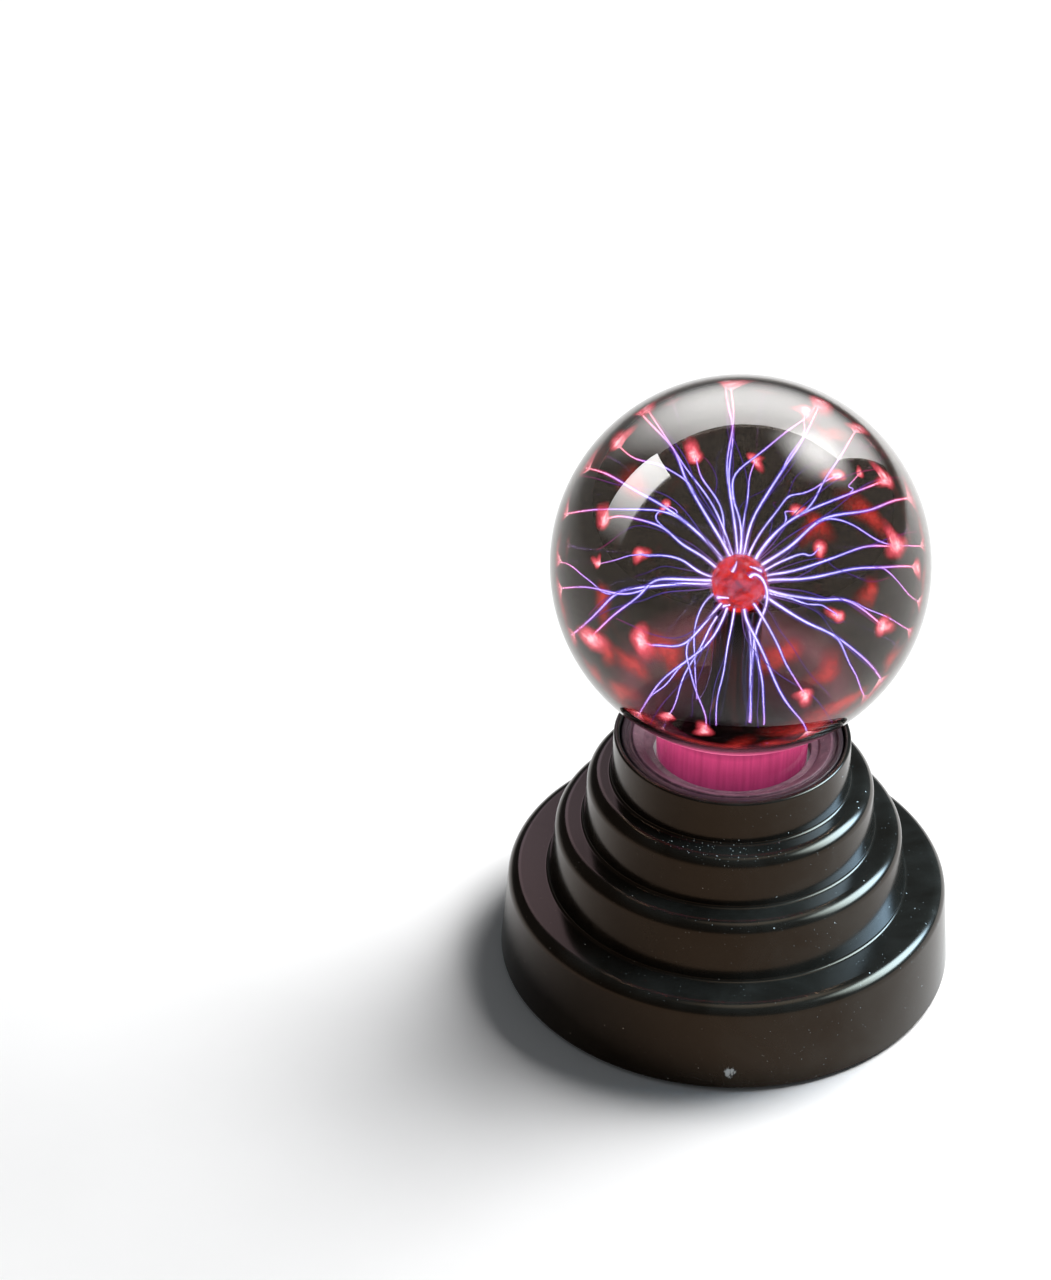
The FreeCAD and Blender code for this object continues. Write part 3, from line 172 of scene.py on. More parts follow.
class Finish:
    """One material while it is being mixed: its shader, and short ways to add the nodes that feed it."""

    def __init__(self, name, **sockets):
        self.material = bpy.data.materials.new(name)
        self.material.use_nodes = True
        self.tree = self.material.node_tree
        self.shader = self.tree.nodes["Principled BSDF"]
        self.place = self.tree.nodes.new("ShaderNodeTexCoord").outputs["Object"]
        for socket, value in sockets.items():
            self.shader.inputs[socket.replace("_", " ")].default_value = value

    def feed(self, socket, value):
        """Links an output to a socket, or sets the socket when the value is a plain number or colour."""
        if isinstance(value, bpy.types.NodeSocket):
            self.tree.links.new(value, socket)
        elif hasattr(value, "__len__") and len(value) == 3 and socket.type == "RGBA":
            socket.default_value = (*value, 1)
        else:
            socket.default_value = value

    def mapped(self, scale=(1, 1, 1), turn=(0, 0, 0), shift=(0, 0, 0)):
        """The place on the piece, stretched, turned in degrees or shifted."""
        node = self.tree.nodes.new("ShaderNodeMapping")
        self.tree.links.new(self.place, node.inputs["Vector"])
        node.inputs["Scale"].default_value = scale
        node.inputs["Rotation"].default_value = [math.radians(angle) for angle in turn]
        node.inputs["Location"].default_value = shift
        return node.outputs["Vector"]

    def noise(self, size, detail=3, rough=0.5, at=None, warp=0.0):
        """Soft noise whose blotches are about this size in millimetres."""
        node = self.tree.nodes.new("ShaderNodeTexNoise")
        self.tree.links.new(at or self.place, node.inputs["Vector"])
        self.feed(node.inputs["Scale"], 1 / (size * MM))
        self.feed(node.inputs["Detail"], detail)
        self.feed(node.inputs["Roughness"], rough)
        self.feed(node.inputs["Distortion"], warp)
        return node.outputs["Fac"]

    def cells(self, size, at=None):
        """Distance from the nearest of many scattered points, a cell being about this size in millimetres."""
        node = self.tree.nodes.new("ShaderNodeTexVoronoi")
        self.tree.links.new(at or self.place, node.inputs["Vector"])
        self.feed(node.inputs["Scale"], 1 / (size * MM))
        return node.outputs["Distance"]

    def part_of(self, letter):
        """One coordinate of the place, in metres."""
        node = self.tree.nodes.new("ShaderNodeSeparateXYZ")
        self.tree.links.new(self.place, node.inputs["Vector"])
        return node.outputs[letter]

    def attribute(self, name):
        """A number kept on each point of the mesh."""
        node = self.tree.nodes.new("ShaderNodeAttribute")
        node.attribute_name = name
        return node.outputs["Fac"]

    def distance(self, centre):
        """How far the place is from a centre, in metres."""
        node = self.tree.nodes.new("ShaderNodeVectorMath")
        node.operation = "DISTANCE"
        self.tree.links.new(self.place, node.inputs[0])
        node.inputs[1].default_value = centre
        return node.outputs["Value"]

    def distance_from_axis(self):
        """How far the place is from the upright axis, in metres."""
        x, y = self.part_of("X"), self.part_of("Y")
        return self.sum("SQRT", self.sum("ADD", self.product(x, x), self.product(y, y)))

    def sum(self, operation, first, second=0.0):
        """A sum on two numbers."""
        node = self.tree.nodes.new("ShaderNodeMath")
        node.operation = operation
        self.feed(node.inputs[0], first)
        self.feed(node.inputs[1], second)
        return node.outputs[0]

    def product(self, first, *others):
        """Numbers multiplied together."""
        for other in others:
            first = self.sum("MULTIPLY", first, other)
        return first

    def span(self, value, low, high, to_low=0.0, to_high=1.0):
        """Stretches a range of a value onto another range, and holds it there."""
        node = self.tree.nodes.new("ShaderNodeMapRange")
        self.feed(node.inputs["Value"], value)
        for socket, number in zip(("From Min", "From Max", "To Min", "To Max"), (low, high, to_low, to_high)):
            node.inputs[socket].default_value = number
        return node.outputs["Result"]

    def ramp(self, value, *stops):
        """Colours along a value: each stop is a place from 0 to 1 and a colour or a grey."""
        node = self.tree.nodes.new("ShaderNodeValToRGB")
        self.feed(node.inputs["Fac"], value)
        elements = node.color_ramp.elements
        while len(elements) < len(stops):
            elements.new(0.5)
        for element, (place, colour) in zip(elements, stops):
            element.position = place
            element.color = (*colour, 1) if hasattr(colour, "__len__") else (colour, colour, colour, 1)
        return node.outputs["Color"]

    def blend(self, share, first, second):
        """One colour laid over another."""
        node = self.tree.nodes.new("ShaderNodeMix")
        node.data_type = "RGBA"
        self.feed(node.inputs["Factor"], share)
        self.feed(node.inputs[6], first)
        self.feed(node.inputs[7], second)
        return node.outputs[2]

    def paint(self, **sockets):
        """Feeds the shader's sockets, by name with underscores for spaces."""
        for socket, value in sockets.items():
            self.feed(self.shader.inputs[socket.replace("_", " ")], value)
        return self

    def relief(self, height, depth, strength=1.0):
        """Bump from a height that runs from 0 to 1, this many millimetres deep."""
        node = self.tree.nodes.new("ShaderNodeBump")
        self.feed(node.inputs["Height"], height)
        node.inputs["Distance"].default_value = depth * MM
        node.inputs["Strength"].default_value = strength
        self.tree.links.new(node.outputs["Normal"], self.shader.inputs["Normal"])
        return self


def grey(value):
    """A colour without a hue."""
    return (value, value, value)


def dust_specks(finish, size, share):
    """Scattered specks: 1 in a speck and 0 outside it. The share is the part of its cell that it fills."""
    solid_part = 0.6
    return finish.span(finish.cells(size), share, share * solid_part)


def moulding(name, colour, gloss, grain=0.12, depth=0.01):
    """Injection-moulded plastic: a fine moulded grain, slightly uneven gloss and a little dust."""
    finish = Finish(name)
    patches = finish.noise(6, detail=5)
    fine = finish.noise(grain, detail=2)
    dust = finish.product(dust_specks(finish, 1.4, 0.09), 0.15)
    shade = finish.ramp(patches, (0.3, [c * 0.85 for c in colour]), (0.7, [min(1, c * 1.15) for c in colour]))
    finish.paint(
        Base_Color=finish.blend(dust, shade, grey(0.45)),
        Roughness=finish.span(patches, 0.3, 0.7, gloss * 0.85, gloss * 1.2),
    )
    return finish.relief(fine, depth, 0.5).material


def metal(name, colour, gloss, streaks=(1, 1, 1), wear=0.25):
    """Bare or plated metal: fine drawing lines, cloudy tarnish and uneven polish."""
    finish = Finish(name, Metallic=1.0)
    lines = finish.noise(0.35, detail=4, at=finish.mapped(scale=streaks))
    cloud = finish.noise(2.2, detail=5)
    dull = [c * (1 - wear) for c in colour]
    finish.paint(
        Base_Color=finish.ramp(cloud, (0.3, dull), (0.65, colour)),
        Roughness=finish.span(lines, 0.3, 0.7, gloss * 0.7, gloss * 1.4),
    )
    return finish.relief(lines, 0.01, 0.35).material


def soft_rubber(name, colour, gloss=0.6):
    """Rubber or cured silicone: a dull skin with a faint bloom and tiny pits."""
    finish = Finish(name, Specular_IOR_Level=0.35)
    bloom = finish.noise(3.0, detail=5)
    pits = finish.cells(0.5)
    light = [min(1, c + 0.05) for c in colour]
    finish.paint(
        Base_Color=finish.ramp(bloom, (0.35, colour), (0.75, light)),
        Roughness=finish.span(bloom, 0.3, 0.7, gloss, min(1, gloss + 0.15)),
    )
    return finish.relief(pits, 0.03, 0.4).material


def lacquer(name, colour, gloss=0.25, drip=1.5):
    """A dipped or lacquered component: slightly uneven colour and a soft wavy skin."""
    finish = Finish(name, Coat_Weight=0.3, Coat_Roughness=0.15)
    skin = finish.noise(drip, detail=2)
    dark = [c * 0.75 for c in colour]
    finish.paint(
        Base_Color=finish.ramp(skin, (0.3, dark), (0.7, colour)),
        Roughness=finish.span(skin, 0.3, 0.7, gloss, gloss * 1.5),
    )
    return finish.relief(skin, 0.05, 0.5).material


# ---- the materials of the outside ----

def unlit_by_sampling(finish):
    """A small glow that is seen but isn't used as a lamp."""
    finish.material.cycles.emission_sampling = "NONE"
    return finish.material


LEDGE_DUST_PLACE = (-4 * MM, -28 * MM, 47.7 * MM)
SCUFF_PLACE = (-1.3 * MM, -50.4 * MM, 4.9 * MM)

# The neck's glow: each share of the way from its foot to its top, and the colour there.
NECK_GLOW_FOOT = 50 * MM
NECK_GLOW_TOP = 76 * MM
NECK_GLOW = (
    (0.0, (0.07, 0.010, 0.035)), (0.154, (0.16, 0.016, 0.06)), (0.346, (0.33, 0.030, 0.105)),
    (0.48, (0.52, 0.050, 0.160)), (0.577, (0.30, 0.034, 0.10)), (0.654, (0.12, 0.015, 0.04)),
    (0.77, (0.60, 0.16, 0.28)), (0.846, (0.24, 0.055, 0.10)), (0.94, (0, 0, 0)),
)


def ledge_dust(finish):
    """1 on top of the third step near the front, where the dust lies thickest, and 0 away from there."""
    height = finish.part_of("Z")
    above = finish.span(height, 46.6 * MM, 47.3 * MM)
    below = finish.span(height, 48.1 * MM, 48.6 * MM, 1.0, 0.0)
    near = finish.span(finish.distance(LEDGE_DUST_PLACE), 7 * MM, 15 * MM, 1.0, 0.0)
    return finish.product(near, above, below)


def scuff_mark(finish):
    """The scuff low on the front wall: scratchy, and weaker away from its middle."""
    scratchy = finish.noise(0.7, detail=5, rough=0.7, at=finish.mapped(scale=(1, 1, 0.45), turn=(0, 35, 0)))
    fade = finish.span(finish.distance(SCUFF_PLACE), 0.6 * MM, 4.2 * MM, 1.0, 0.0)
    return finish.span(finish.product(scratchy, fade), 0.43, 0.52, 0.0, 0.9)


def gloss_black_housing():
    """Polished black plastic with dust, a few wiping smudges and one small scuff low on the front wall."""
    # Painted reflection colour: the warm specular tint browns every reflection on the black plastic; the
    # bluish housing softbox keeps its highlights cool.
    finish = Finish("gloss_black_housing", Specular_IOR_Level=0.26, Specular_Tint=(1.0, 0.62, 0.37, 1))
    smudge = finish.noise(14, detail=6, rough=0.6, warp=0.6)
    large_specks = finish.product(dust_specks(finish, 3.6, 0.045), 0.6)
    settled = finish.span(finish.noise(9, detail=4), 0.45, 0.7, 0.0, 0.7)
    scattered = finish.product(dust_specks(finish, 1.3, 0.09), settled)
    thick = finish.product(dust_specks(finish, 0.75, 0.16), ledge_dust(finish))
    fine_dust = finish.product(finish.sum("MAXIMUM", scattered, thick), 0.5)
    dust = finish.sum("MAXIMUM", large_specks, fine_dust)
    scuff = scuff_mark(finish)
    clean = finish.ramp(smudge, (0.35, (0.0042, 0.0028, 0.0018)), (0.75, (0.011, 0.008, 0.0055)))
    dusty = finish.blend(dust, clean, (0.55, 0.45, 0.36))
    polish = finish.span(smudge, 0.52, 0.75, 0.15, 0.24)
    finish.paint(
        Base_Color=finish.blend(scuff, dusty, (0.36, 0.31, 0.26)),
        Roughness=finish.sum("ADD", polish, finish.product(scuff, 0.5)),
    )
    ripple = finish.noise(11, detail=2)
    return finish.relief(finish.sum("ADD", ripple, scuff), 0.02, 0.25).material


def dust_and_painted_glow_seat_ring():
    """Satin dark plastic under a film of dust, with the discharge's pink glow painted into its colours, and
    painted shade darkening its groove and outer rim.
    """
    finish = Finish("dust_and_painted_glow_seat_ring", Specular_IOR_Level=0.45)
    film = finish.noise(2.4, detail=6, rough=0.65, warp=0.4)
    specks = finish.product(dust_specks(finish, 1.1, 0.10), 0.6)
    # Painted glow: the discharge's pink light is mixed into these dust colours and into the specks' colour.
    dust_colour_with_painted_glow = finish.ramp(
        film, (0.3, (0.10, 0.042, 0.062)), (0.62, (0.22, 0.105, 0.14)), (0.8, (0.38, 0.22, 0.27)),
    )
    dusty = finish.blend(specks, dust_colour_with_painted_glow, (0.62, 0.48, 0.52))
    # Painted shade: the colour turns nearly black over the groove and the outer rim.
    rim = finish.span(finish.distance_from_axis(), 21.6 * MM, 22.6 * MM)
    finish.paint(
        Base_Color=finish.blend(rim, dusty, (0.03, 0.018, 0.024)),
        Roughness=finish.span(film, 0.3, 0.8, 0.32, 0.6),
    )
    return finish.relief(film, 0.04, 0.35).material


def light_neck(finish):
    """Lights the outer side of the neck magenta, most of all under the globe, with fine upright streaks."""
    glow = finish.ramp(finish.span(finish.part_of("Z"), NECK_GLOW_FOOT, NECK_GLOW_TOP), *NECK_GLOW)
    outer_side = finish.span(finish.distance_from_axis(), 15.6 * MM, 16.2 * MM, 0.1, 1.0)
    streaks = finish.noise(0.9, detail=3, at=finish.mapped(scale=(1, 1, 0.06)))
    strength = finish.product(outer_side, finish.span(streaks, 0.3, 0.7, 0.85, 1.15))
    finish.paint(Emission_Color=glow, Emission_Strength=strength)


def smoky_glass(name, lit_neck=False):
    """Clear blown glass, a little smoky, with painted shade darkening it where it is seen edge-on, faint
    finger smears, a few specks and a gentle waviness."""
    finish = Finish(name, Transmission_Weight=1.0, IOR=1.3, Roughness=0.0)
    smears = finish.noise(16, detail=5, rough=0.6, warp=0.8)
    specks = dust_specks(finish, 6.0, 0.02)
    tint = finish.ramp(smears, (0.3, (0.178, 0.163, 0.146)), (0.75, (0.150, 0.134, 0.117)))
    # Painted shade: the tint darkens towards where the surface is seen edge-on.
    facing = finish.tree.nodes.new("ShaderNodeLayerWeight")
    edge = finish.span(facing.outputs["Facing"], 0.62, 0.95)
    smoky = finish.blend(edge, tint, (0.055, 0.045, 0.045))
    finish.paint(Base_Color=finish.blend(specks, smoky, grey(0.5)))
    if lit_neck:
        light_neck(finish)
    return finish.relief(finish.noise(30, detail=1), 0.05, 0.3).material


def black_stem_glass():
    """Glass tube with a fired black coating inside it, glossy and faintly streaked."""
    finish = Finish("black_stem_glass", Specular_IOR_Level=0.5, Coat_Weight=0.4, Coat_Roughness=0.04)
    streaks = finish.noise(2.5, detail=4, at=finish.mapped(scale=(1, 1, 0.15)))
    finish.paint(
        Base_Color=finish.ramp(streaks, (0.35, grey(0.004)), (0.7, (0.014, 0.012, 0.015))),
        Roughness=finish.span(streaks, 0.3, 0.7, 0.06, 0.14),
    )
    return finish.relief(streaks, 0.02, 0.2).material


def glowing_bulb():
    """The electrode: coral-red glow with darker mottling and small hot spots under a glass skin."""
    finish = Finish("glowing_bulb", Roughness=0.12, Specular_IOR_Level=0.5)
    mottle = finish.noise(3.8, detail=5, rough=0.62, warp=0.7)
    spots = finish.span(finish.cells(3.0, at=finish.mapped(shift=(0.001, 0.0005, 0))), 0.28, 0.05, 0.0, 0.6)
    coral = finish.ramp(
        mottle, (0.34, (0.22, 0.006, 0.005)), (0.46, (0.60, 0.016, 0.012)), (0.6, (0.95, 0.035, 0.026)),
        (0.75, (1.0, 0.11, 0.09)),
    )
    finish.paint(
        Base_Color=(0.10, 0.01, 0.008),
        Emission_Color=finish.blend(spots, coral, (1.0, 0.30, 0.42)),
        Emission_Strength=4.6,
    )
    return finish.relief(mottle, 0.1, 0.3).material


# ---- the globe, its stem, the electrode and the base, turned at a finer pitch than the frame's ----

NECK_RADIUS = 16.5 * MM
NECK_BLEND = 3.5 * MM
STEM_RADIUS = 5.3 * MM
STEM_WALL = 1.0 * MM
FLARE_CURVE = 38 * MM
FLARE_START = 79 * MM
FLARE_THROAT = 64.5 * MM
FLARE_END = 49.5 * MM
# A filament beside the stem stays this far off it.
STEM_GAP = 0.4 * MM
# An arc over the top stops this close to the axis, in degrees; close_poles then draws it to a point.
NEAR_TOP = 89.93


def globe_outline():
    """Half the section of the globe and its neck: up the outside and over the top, then down the inside."""
    end = globe_low.z
    centre = GLOBE_CENTRE.z
    across = NECK_RADIUS + NECK_BLEND
    drop = math.sqrt((GLOBE_RADIUS + NECK_BLEND) ** 2 - across ** 2)
    blend_centre = (across, centre - drop)
    meet = math.degrees(math.atan2(drop, -across))
    ball_start = math.degrees(math.atan2(-drop, across))
    outside = [(NECK_RADIUS, end)]
    outside += arc(blend_centre, NECK_BLEND, 180, meet, 10)
    outside += arc((0, centre), GLOBE_RADIUS, ball_start, NEAR_TOP, 96)[1:]
    inside = arc((0, centre), INSIDE_RADIUS, NEAR_TOP, ball_start, 96)
    inside += arc(blend_centre, NECK_BLEND + GLOBE_WALL, meet, 180, 10)[1:]
    inside.append((NECK_RADIUS - GLOBE_WALL, end))
    return outside + inside


def flare_radius(height):
    """Radius of the stem's outside at a height above the flare's throat."""
    rise = max(0.0, FLARE_START - height)
    return STEM_RADIUS + FLARE_CURVE - math.sqrt(FLARE_CURVE ** 2 - rise ** 2)


def make_stem():
    """The black tube whose foot flares out to the neck, with a melted rounding at the seal."""
    stem_low, stem_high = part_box("inner_stem")
    seal = stem_high.x
    curve_centre = (STEM_RADIUS + FLARE_CURVE, FLARE_START)
    throat_angle = 180 + math.degrees(math.asin((FLARE_START - FLARE_THROAT) / FLARE_CURVE))
    inner_angle = 180 + math.degrees(math.asin((FLARE_START - FLARE_THROAT) / (FLARE_CURVE + STEM_WALL)))
    outline = [(seal, stem_low.z), (seal, FLARE_END)]
    outline += arc(curve_centre, FLARE_CURVE, throat_angle, 180, 20)
    outline += [(STEM_RADIUS, stem_high.z), (STEM_RADIUS - STEM_WALL, stem_high.z)]
    outline += arc(curve_centre, FLARE_CURVE + STEM_WALL, 180, inner_angle, 20)
    outline += [(seal - STEM_WALL, FLARE_END), (seal - STEM_WALL, stem_low.z)]
    return turn_outline("stem_tube", outline, sides=96)


def make_bulb():
    """The electrode's glass bulb, with its own short neck inside the stem."""
    neck, wall = 4.2 * MM, 0.7 * MM
    centre = (0, BULB_CENTRE.z)
    outer_start = -math.degrees(math.acos(neck / BULB_RADIUS))
    inner_start = -math.degrees(math.acos((neck - wall) / (BULB_RADIUS - wall)))
    outline = [(neck, bulb_low.z)]
    outline += arc(centre, BULB_RADIUS, outer_start, NEAR_TOP, 40)
    outline += arc(centre, BULB_RADIUS - wall, NEAR_TOP, inner_start, 30)
    outline.append((neck - wall, bulb_low.z))
    return turn_outline("electrode_glow_bulb", outline, sides=96)


def make_seat_ring():
    """The ring that fills the collar: a grooved rim, a shallow cone down to the neck, and its two skirts."""
    low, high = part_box("globe_seat_ring")
    outer, top = high.x, high.z
    bore, wall = 17.2 * MM, 1.5 * MM
    dip = top - 2.1 * MM
    groove_floor = top - 0.8 * MM
    neck_ledge = dip - 0.25 * MM
    underside = [
        (bore, low.z), (bore + wall, low.z), (bore + wall, dip - wall), (outer - wall, top - wall),
        (outer - wall, low.z), (outer, low.z),
    ]
    rim = [(outer, top, 0.4 * MM), (outer - 1.1 * MM, top, 0.35 * MM)]
    groove = [(outer - 1.4 * MM, groove_floor, 0.2 * MM), (outer - 2.2 * MM, groove_floor, 0.2 * MM)]
    cone = [(outer - 2.5 * MM, top - 0.25 * MM, 0.3 * MM), (bore + 2.0 * MM, dip + 0.35 * MM, 0.3 * MM)]
    inner_edge = [(bore + 1.6 * MM, neck_ledge, 0.2 * MM), (bore, neck_ledge, 0.3 * MM)]
    return turn_outline("seat_ring", rounded(underside + rim + groove + cone + inner_edge), sides=192)


# The housing's sizes, in millimetres: foot radius, top radius and top height of each step, from the foot up,
# then the collar, and the radius and height of each corner inside, from the collar's bore down to the cover.
STEPS = ((50.5, 48.7, 21.5), (39.9, 38.1, 35.4), (32.2, 31.3, 47.7))
STEP_ROUND = 3.0
STEP_FOOT_ROUND = 0.8
COLLAR_FOOT_RADIUS, COLLAR_RADIUS, COLLAR_BORE, COLLAR_TOP = 26.2, 25.8, 24.5, 58.3
COLLAR_ROUND = 0.55
COVER_TOP = 3.4
REBATE_RADIUS = 48.1
HOLLOW = (
    (COLLAR_BORE, 51.5), (17.9, 51.5), (17.9, 49.5), (24.0, 49.5), (24.0, 45.5), (29.1, 45.5), (30.0, 33.2),
    (35.9, 33.2), (37.7, 19.3), (46.5, 19.3), (47.0, COVER_TOP), (REBATE_RADIUS, COVER_TOP),
)
# Openings and bosses of the housing, and how far the port is turned from straight back, in degrees.
PLUG_WAY_RADIUS = 4.5 * MM
PLUG_WAY_START = 43 * MM
PORT_RADIUS = 0.8 * MM
PORT_TURN = 35
SWITCH_SLOT = (8.0 * MM, 15 * MM, 3.2 * MM)
SWITCH_SLOT_Y = 50 * MM
BOSS_RADIUS = 3.2 * MM
BOSS_BORE = 1.3 * MM
BOSS_TOP = 19.5 * MM
BOSS_CIRCLE = 41 * MM


def housing_outline():
    """Half the section of the housing, up the outside of its four steps and down the inside."""
    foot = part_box("base_housing")[0].z / MM
    outside = [(STEPS[0][0], foot)]
    for index, (foot_radius, top_radius, top) in enumerate(STEPS):
        if index:
            outside.append((foot_radius, STEPS[index - 1][2], STEP_FOOT_ROUND))
        outside.append((top_radius, top, STEP_ROUND))
    outside.append((COLLAR_FOOT_RADIUS, STEPS[-1][2], STEP_FOOT_ROUND))
    outside.append((COLLAR_RADIUS, COLLAR_TOP, COLLAR_ROUND))
    outside.append((COLLAR_BORE, COLLAR_TOP, COLLAR_ROUND))
    inside = [*HOLLOW, (REBATE_RADIUS, foot)]
    corners = [tuple(size * MM for size in corner) for corner in outside + inside]
    return rounded(corners, steps=10)


def middle_of(node):
    """The middle of a CAD node's box."""
    low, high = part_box(node)
    return (low + high) / 2


def cylinder_along(name, start, direction, radius, length, sides=48):
    """A round bar from a point along a direction, to cut with."""
    deselect()
    direction = Vector(direction).normalized()
    bpy.ops.mesh.primitive_cylinder_add(
        vertices=sides, radius=radius, depth=length,
        location=Vector(start) + direction * length / 2,
        rotation=direction.to_track_quat("Z", "Y").to_euler(),
    )
    bar = bpy.context.object
    bar.name = name
    return bar


def make_boss(quarter):
    """One of the four hollow posts that the cover's screws go up into."""
    foot = COVER_TOP * MM
    turn = math.radians(90 * quarter)
    boss = turn_outline("boss", [
        (BOSS_RADIUS, foot), (BOSS_RADIUS, BOSS_TOP), (BOSS_BORE, BOSS_TOP), (BOSS_BORE, foot),
    ], sides=32)
    boss.data.transform(Matrix.Translation((BOSS_CIRCLE * math.cos(turn), BOSS_CIRCLE * math.sin(turn), 0)))
    return boss


def make_housing():
    """The stepped housing with its openings at the back and the four screw bosses inside."""
    housing = turn_outline("stepped_housing", housing_outline(), sides=256)
    pin = middle_of("jack_pin")
    plug_start = (pin.x, PLUG_WAY_START, pin.z)
    cut_away(housing, cylinder_along("plug_way", plug_start, (0, 1, 0), PLUG_WAY_RADIUS, 20 * MM, 64))
    port_turn = math.radians(PORT_TURN)
    port_way = (-math.sin(port_turn), math.cos(port_turn), 0)
    port_start = (0, 0, middle_of("microphone_capsule").z)
    cut_away(housing, cylinder_along("port_way", port_start, port_way, PORT_RADIUS, 60 * MM, 32))
    knob = middle_of("switch_slider")
    deselect()
    bpy.ops.mesh.primitive_cube_add(size=1, location=(knob.x, SWITCH_SLOT_Y, knob.z), scale=SWITCH_SLOT)
    cut_away(housing, bpy.context.object)
    bosses = [make_boss(quarter) for quarter in range(4)]
    pick(housing, *bosses)
    bpy.ops.object.join()
    return settle(housing, "stepped_housing", 40)


def make_bulb_halo():
    """A faint skin of light round the electrode."""
    radius, wall, foot_angle = BULB_RADIUS + 0.55 * MM, 0.1 * MM, -24
    centre = (0, BULB_CENTRE.z)
    outline = arc(centre, radius, foot_angle, NEAR_TOP, 36)
    outline += arc(centre, radius - wall, NEAR_TOP, foot_angle, 36)
    return turn_outline("bulb_halo", outline, sides=96)


# ---- the discharge ----

def on_sphere(centre, radius, longitude, latitude):
    """A point on a sphere. Longitude 0 faces the front and 90 the right; latitude 90 is the top."""
    across = math.cos(math.radians(latitude))
    turn = math.radians(longitude)
    direction = Vector((math.sin(turn) * across, -math.cos(turn) * across, math.sin(math.radians(latitude))))
    return centre + direction * radius


def on_stem(longitude, height):
    """A point just off the flare at the foot of the stem, at a height in millimetres."""
    radius = flare_radius(height * MM) + STEM_GAP
    turn = math.radians(longitude)
    return Vector((math.sin(turn) * radius, -math.cos(turn) * radius, height * MM))


# Each filament: longitude and latitude where it leaves the bulb, and where it meets the globe,
# how far it bows upwards in millimetres, and its thickness against the usual one.
FILAMENTS = {
    "top": ((-170, 62), (-164, 70), 0, 1.0),
    "top_fork": ((178, 56), (-162, 76), 1, 0.9),
    "rear_left_high": ((-152, 46), (-121, 50), 2, 1.1),
    "rear_left_twin": ((-158, 50), (-119, 54), 1, 0.8),
    "left_high": ((-125, 42), (-99, 32), 5, 1.1),
    "left_wavy": ((-105, 30), (-62, 32), 6, 1.0),
    "left_back": ((-96, 10), (-145, -24), 3, 0.9),
    "left_level": ((-88, 6), (-55, -5), 8, 1.2),
    "left_low": ((-92, -6), (-72, -15), 7, 1.2),
    "front_left_blob": ((-48, -30), (-35, 4), -9, 1.0),
    "front_left_low": ((-36, -42), (-43, -35), -1, 1.0),
    "under_left": ((-60, -52), (-68, -66), -1, 0.8),
    "front_right_low": ((12, -40), (27, -40), 0, 1.1),
    "front_right_blob": ((30, -20), (17, -11), -3, 0.9),
    "right_low": ((66, -18), (55, -24), 4, 1.2),
    "right_low_back": ((88, -22), (126, -40), 2, 0.8),
    "right_blob": ((72, -6), (44, 5), 5, 1.2),
    "right_level": ((92, 4), (66, 14), 2, 1.1),
    "right_wavy": ((96, 14), (58, 25), 1, 1.0),
    "right_near_blob": ((100, 24), (146, -22), 1, 0.9),
    "right_high": ((112, 32), (87, 27), 3, 1.2),
    "right_steep": ((128, 44), (74, 41), 3, 1.1),
    "rear_right": ((150, 50), (142, 6), 5, 0.8),
    "rear_right_high": ((162, 56), (114, 64), -2, 1.1),
    "rear_far": ((172, 30), (172, 5), 4, 0.7),
    "back_left_blob": ((-160, 30), (-168, 6), 4, 0.8),
    "back_squiggle": ((150, 8), (157, -12), 5, 0.7),
}

# Each branch: the filament it leaves and how far along, where it ends, how far it bows, and its thickness.
BRANCHES = {
    "top_right_fork": ("top_fork", 0.32, (112, 66), 0, 0.9),
    "left_shoulder": ("rear_left_high", 0.38, (-91, 48), 1, 0.8),
    "left_twin": ("left_high", 0.30, (-93, 17), 3, 0.9),
    "left_blob": ("left_wavy", 0.45, (-158, -10), 2, 0.7),
    "left_spur": ("left_back", 0.55, (-125, -20), 1, 0.6),
    "left_middle": ("left_level", 0.50, (-81, -3), 1, 0.9),
    "left_crossing": ("left_low", 0.60, (-84, 5), 0, 0.7),
    "front_left_fork": ("front_left_blob", 0.35, (-14, -29), -1, 0.8),
    "low_left_twin": ("front_left_low", 0.40, (-52, -45), 0, 0.7),
    "right_low_fork": ("right_low", 0.60, (47, -27), 0, 0.8),
    "right_low_tip": ("right_blob", 0.62, (64, -8), 1, 0.7),
    "right_level_tip": ("right_level", 0.70, (73, -3), 1, 0.7),
    "right_pink": ("right_high", 0.42, (82, 12), -1, 0.8),
    "right_rising": ("right_steep", 0.42, (96, 54), 0, 0.9),
    "right_inner": ("right_steep", 0.60, (134, 10), 0, 0.6),
    "high_twin": ("rear_right_high", 0.55, (92, 72), 0, 0.7),
}

# Filaments that run down beside the stem: longitude and latitude where they leave the bulb, the longitude and
# height they reach, and their thickness.
STEM_FILAMENTS = [
    ((18, -50), (24, 66), 1.0),
    ((30, -58), (46, 64), 1.0),
    ((-14, -36), (-30, 65), 0.7),
    ((160, -38), (150, 66), 0.7),
    ((-120, -38), (-110, 65), 0.7),
]

SEED = 12
ROOT_GAP = 0.1 * MM
LANDING_GAP = 0.45 * MM
# How far a filament's curve is drawn straight out of the bulb, and straight at the glass, as shares of the
# distance between its ends.
LEAVE_REACH = 0.34
ARRIVE_REACH = 0.26
# How fast each of a filament's sideways waves turns against the slowest, and how many half turns that makes.
WANDER_WAVES = (1, 2, 3.3)
SLOWEST_WAVE = 1.3
# How fast the swelling where a filament starts dies away along it.
SWELL_FADE = 16

# The filament that curls over the front of the bulb and then runs down beside the stem: longitude, latitude
# and distance in millimetres round the bulb's centre, then the longitude and height where it ends.
CURL = (
    (22, 42, 6.1), (34, 47, 6.5), (48, 38, 6.9), (52, 12, 7.3), (50, -18, 7.9), (38, -46, 9.5), (30, -62, 13),
)
CURL_FOOT = (22, 66)
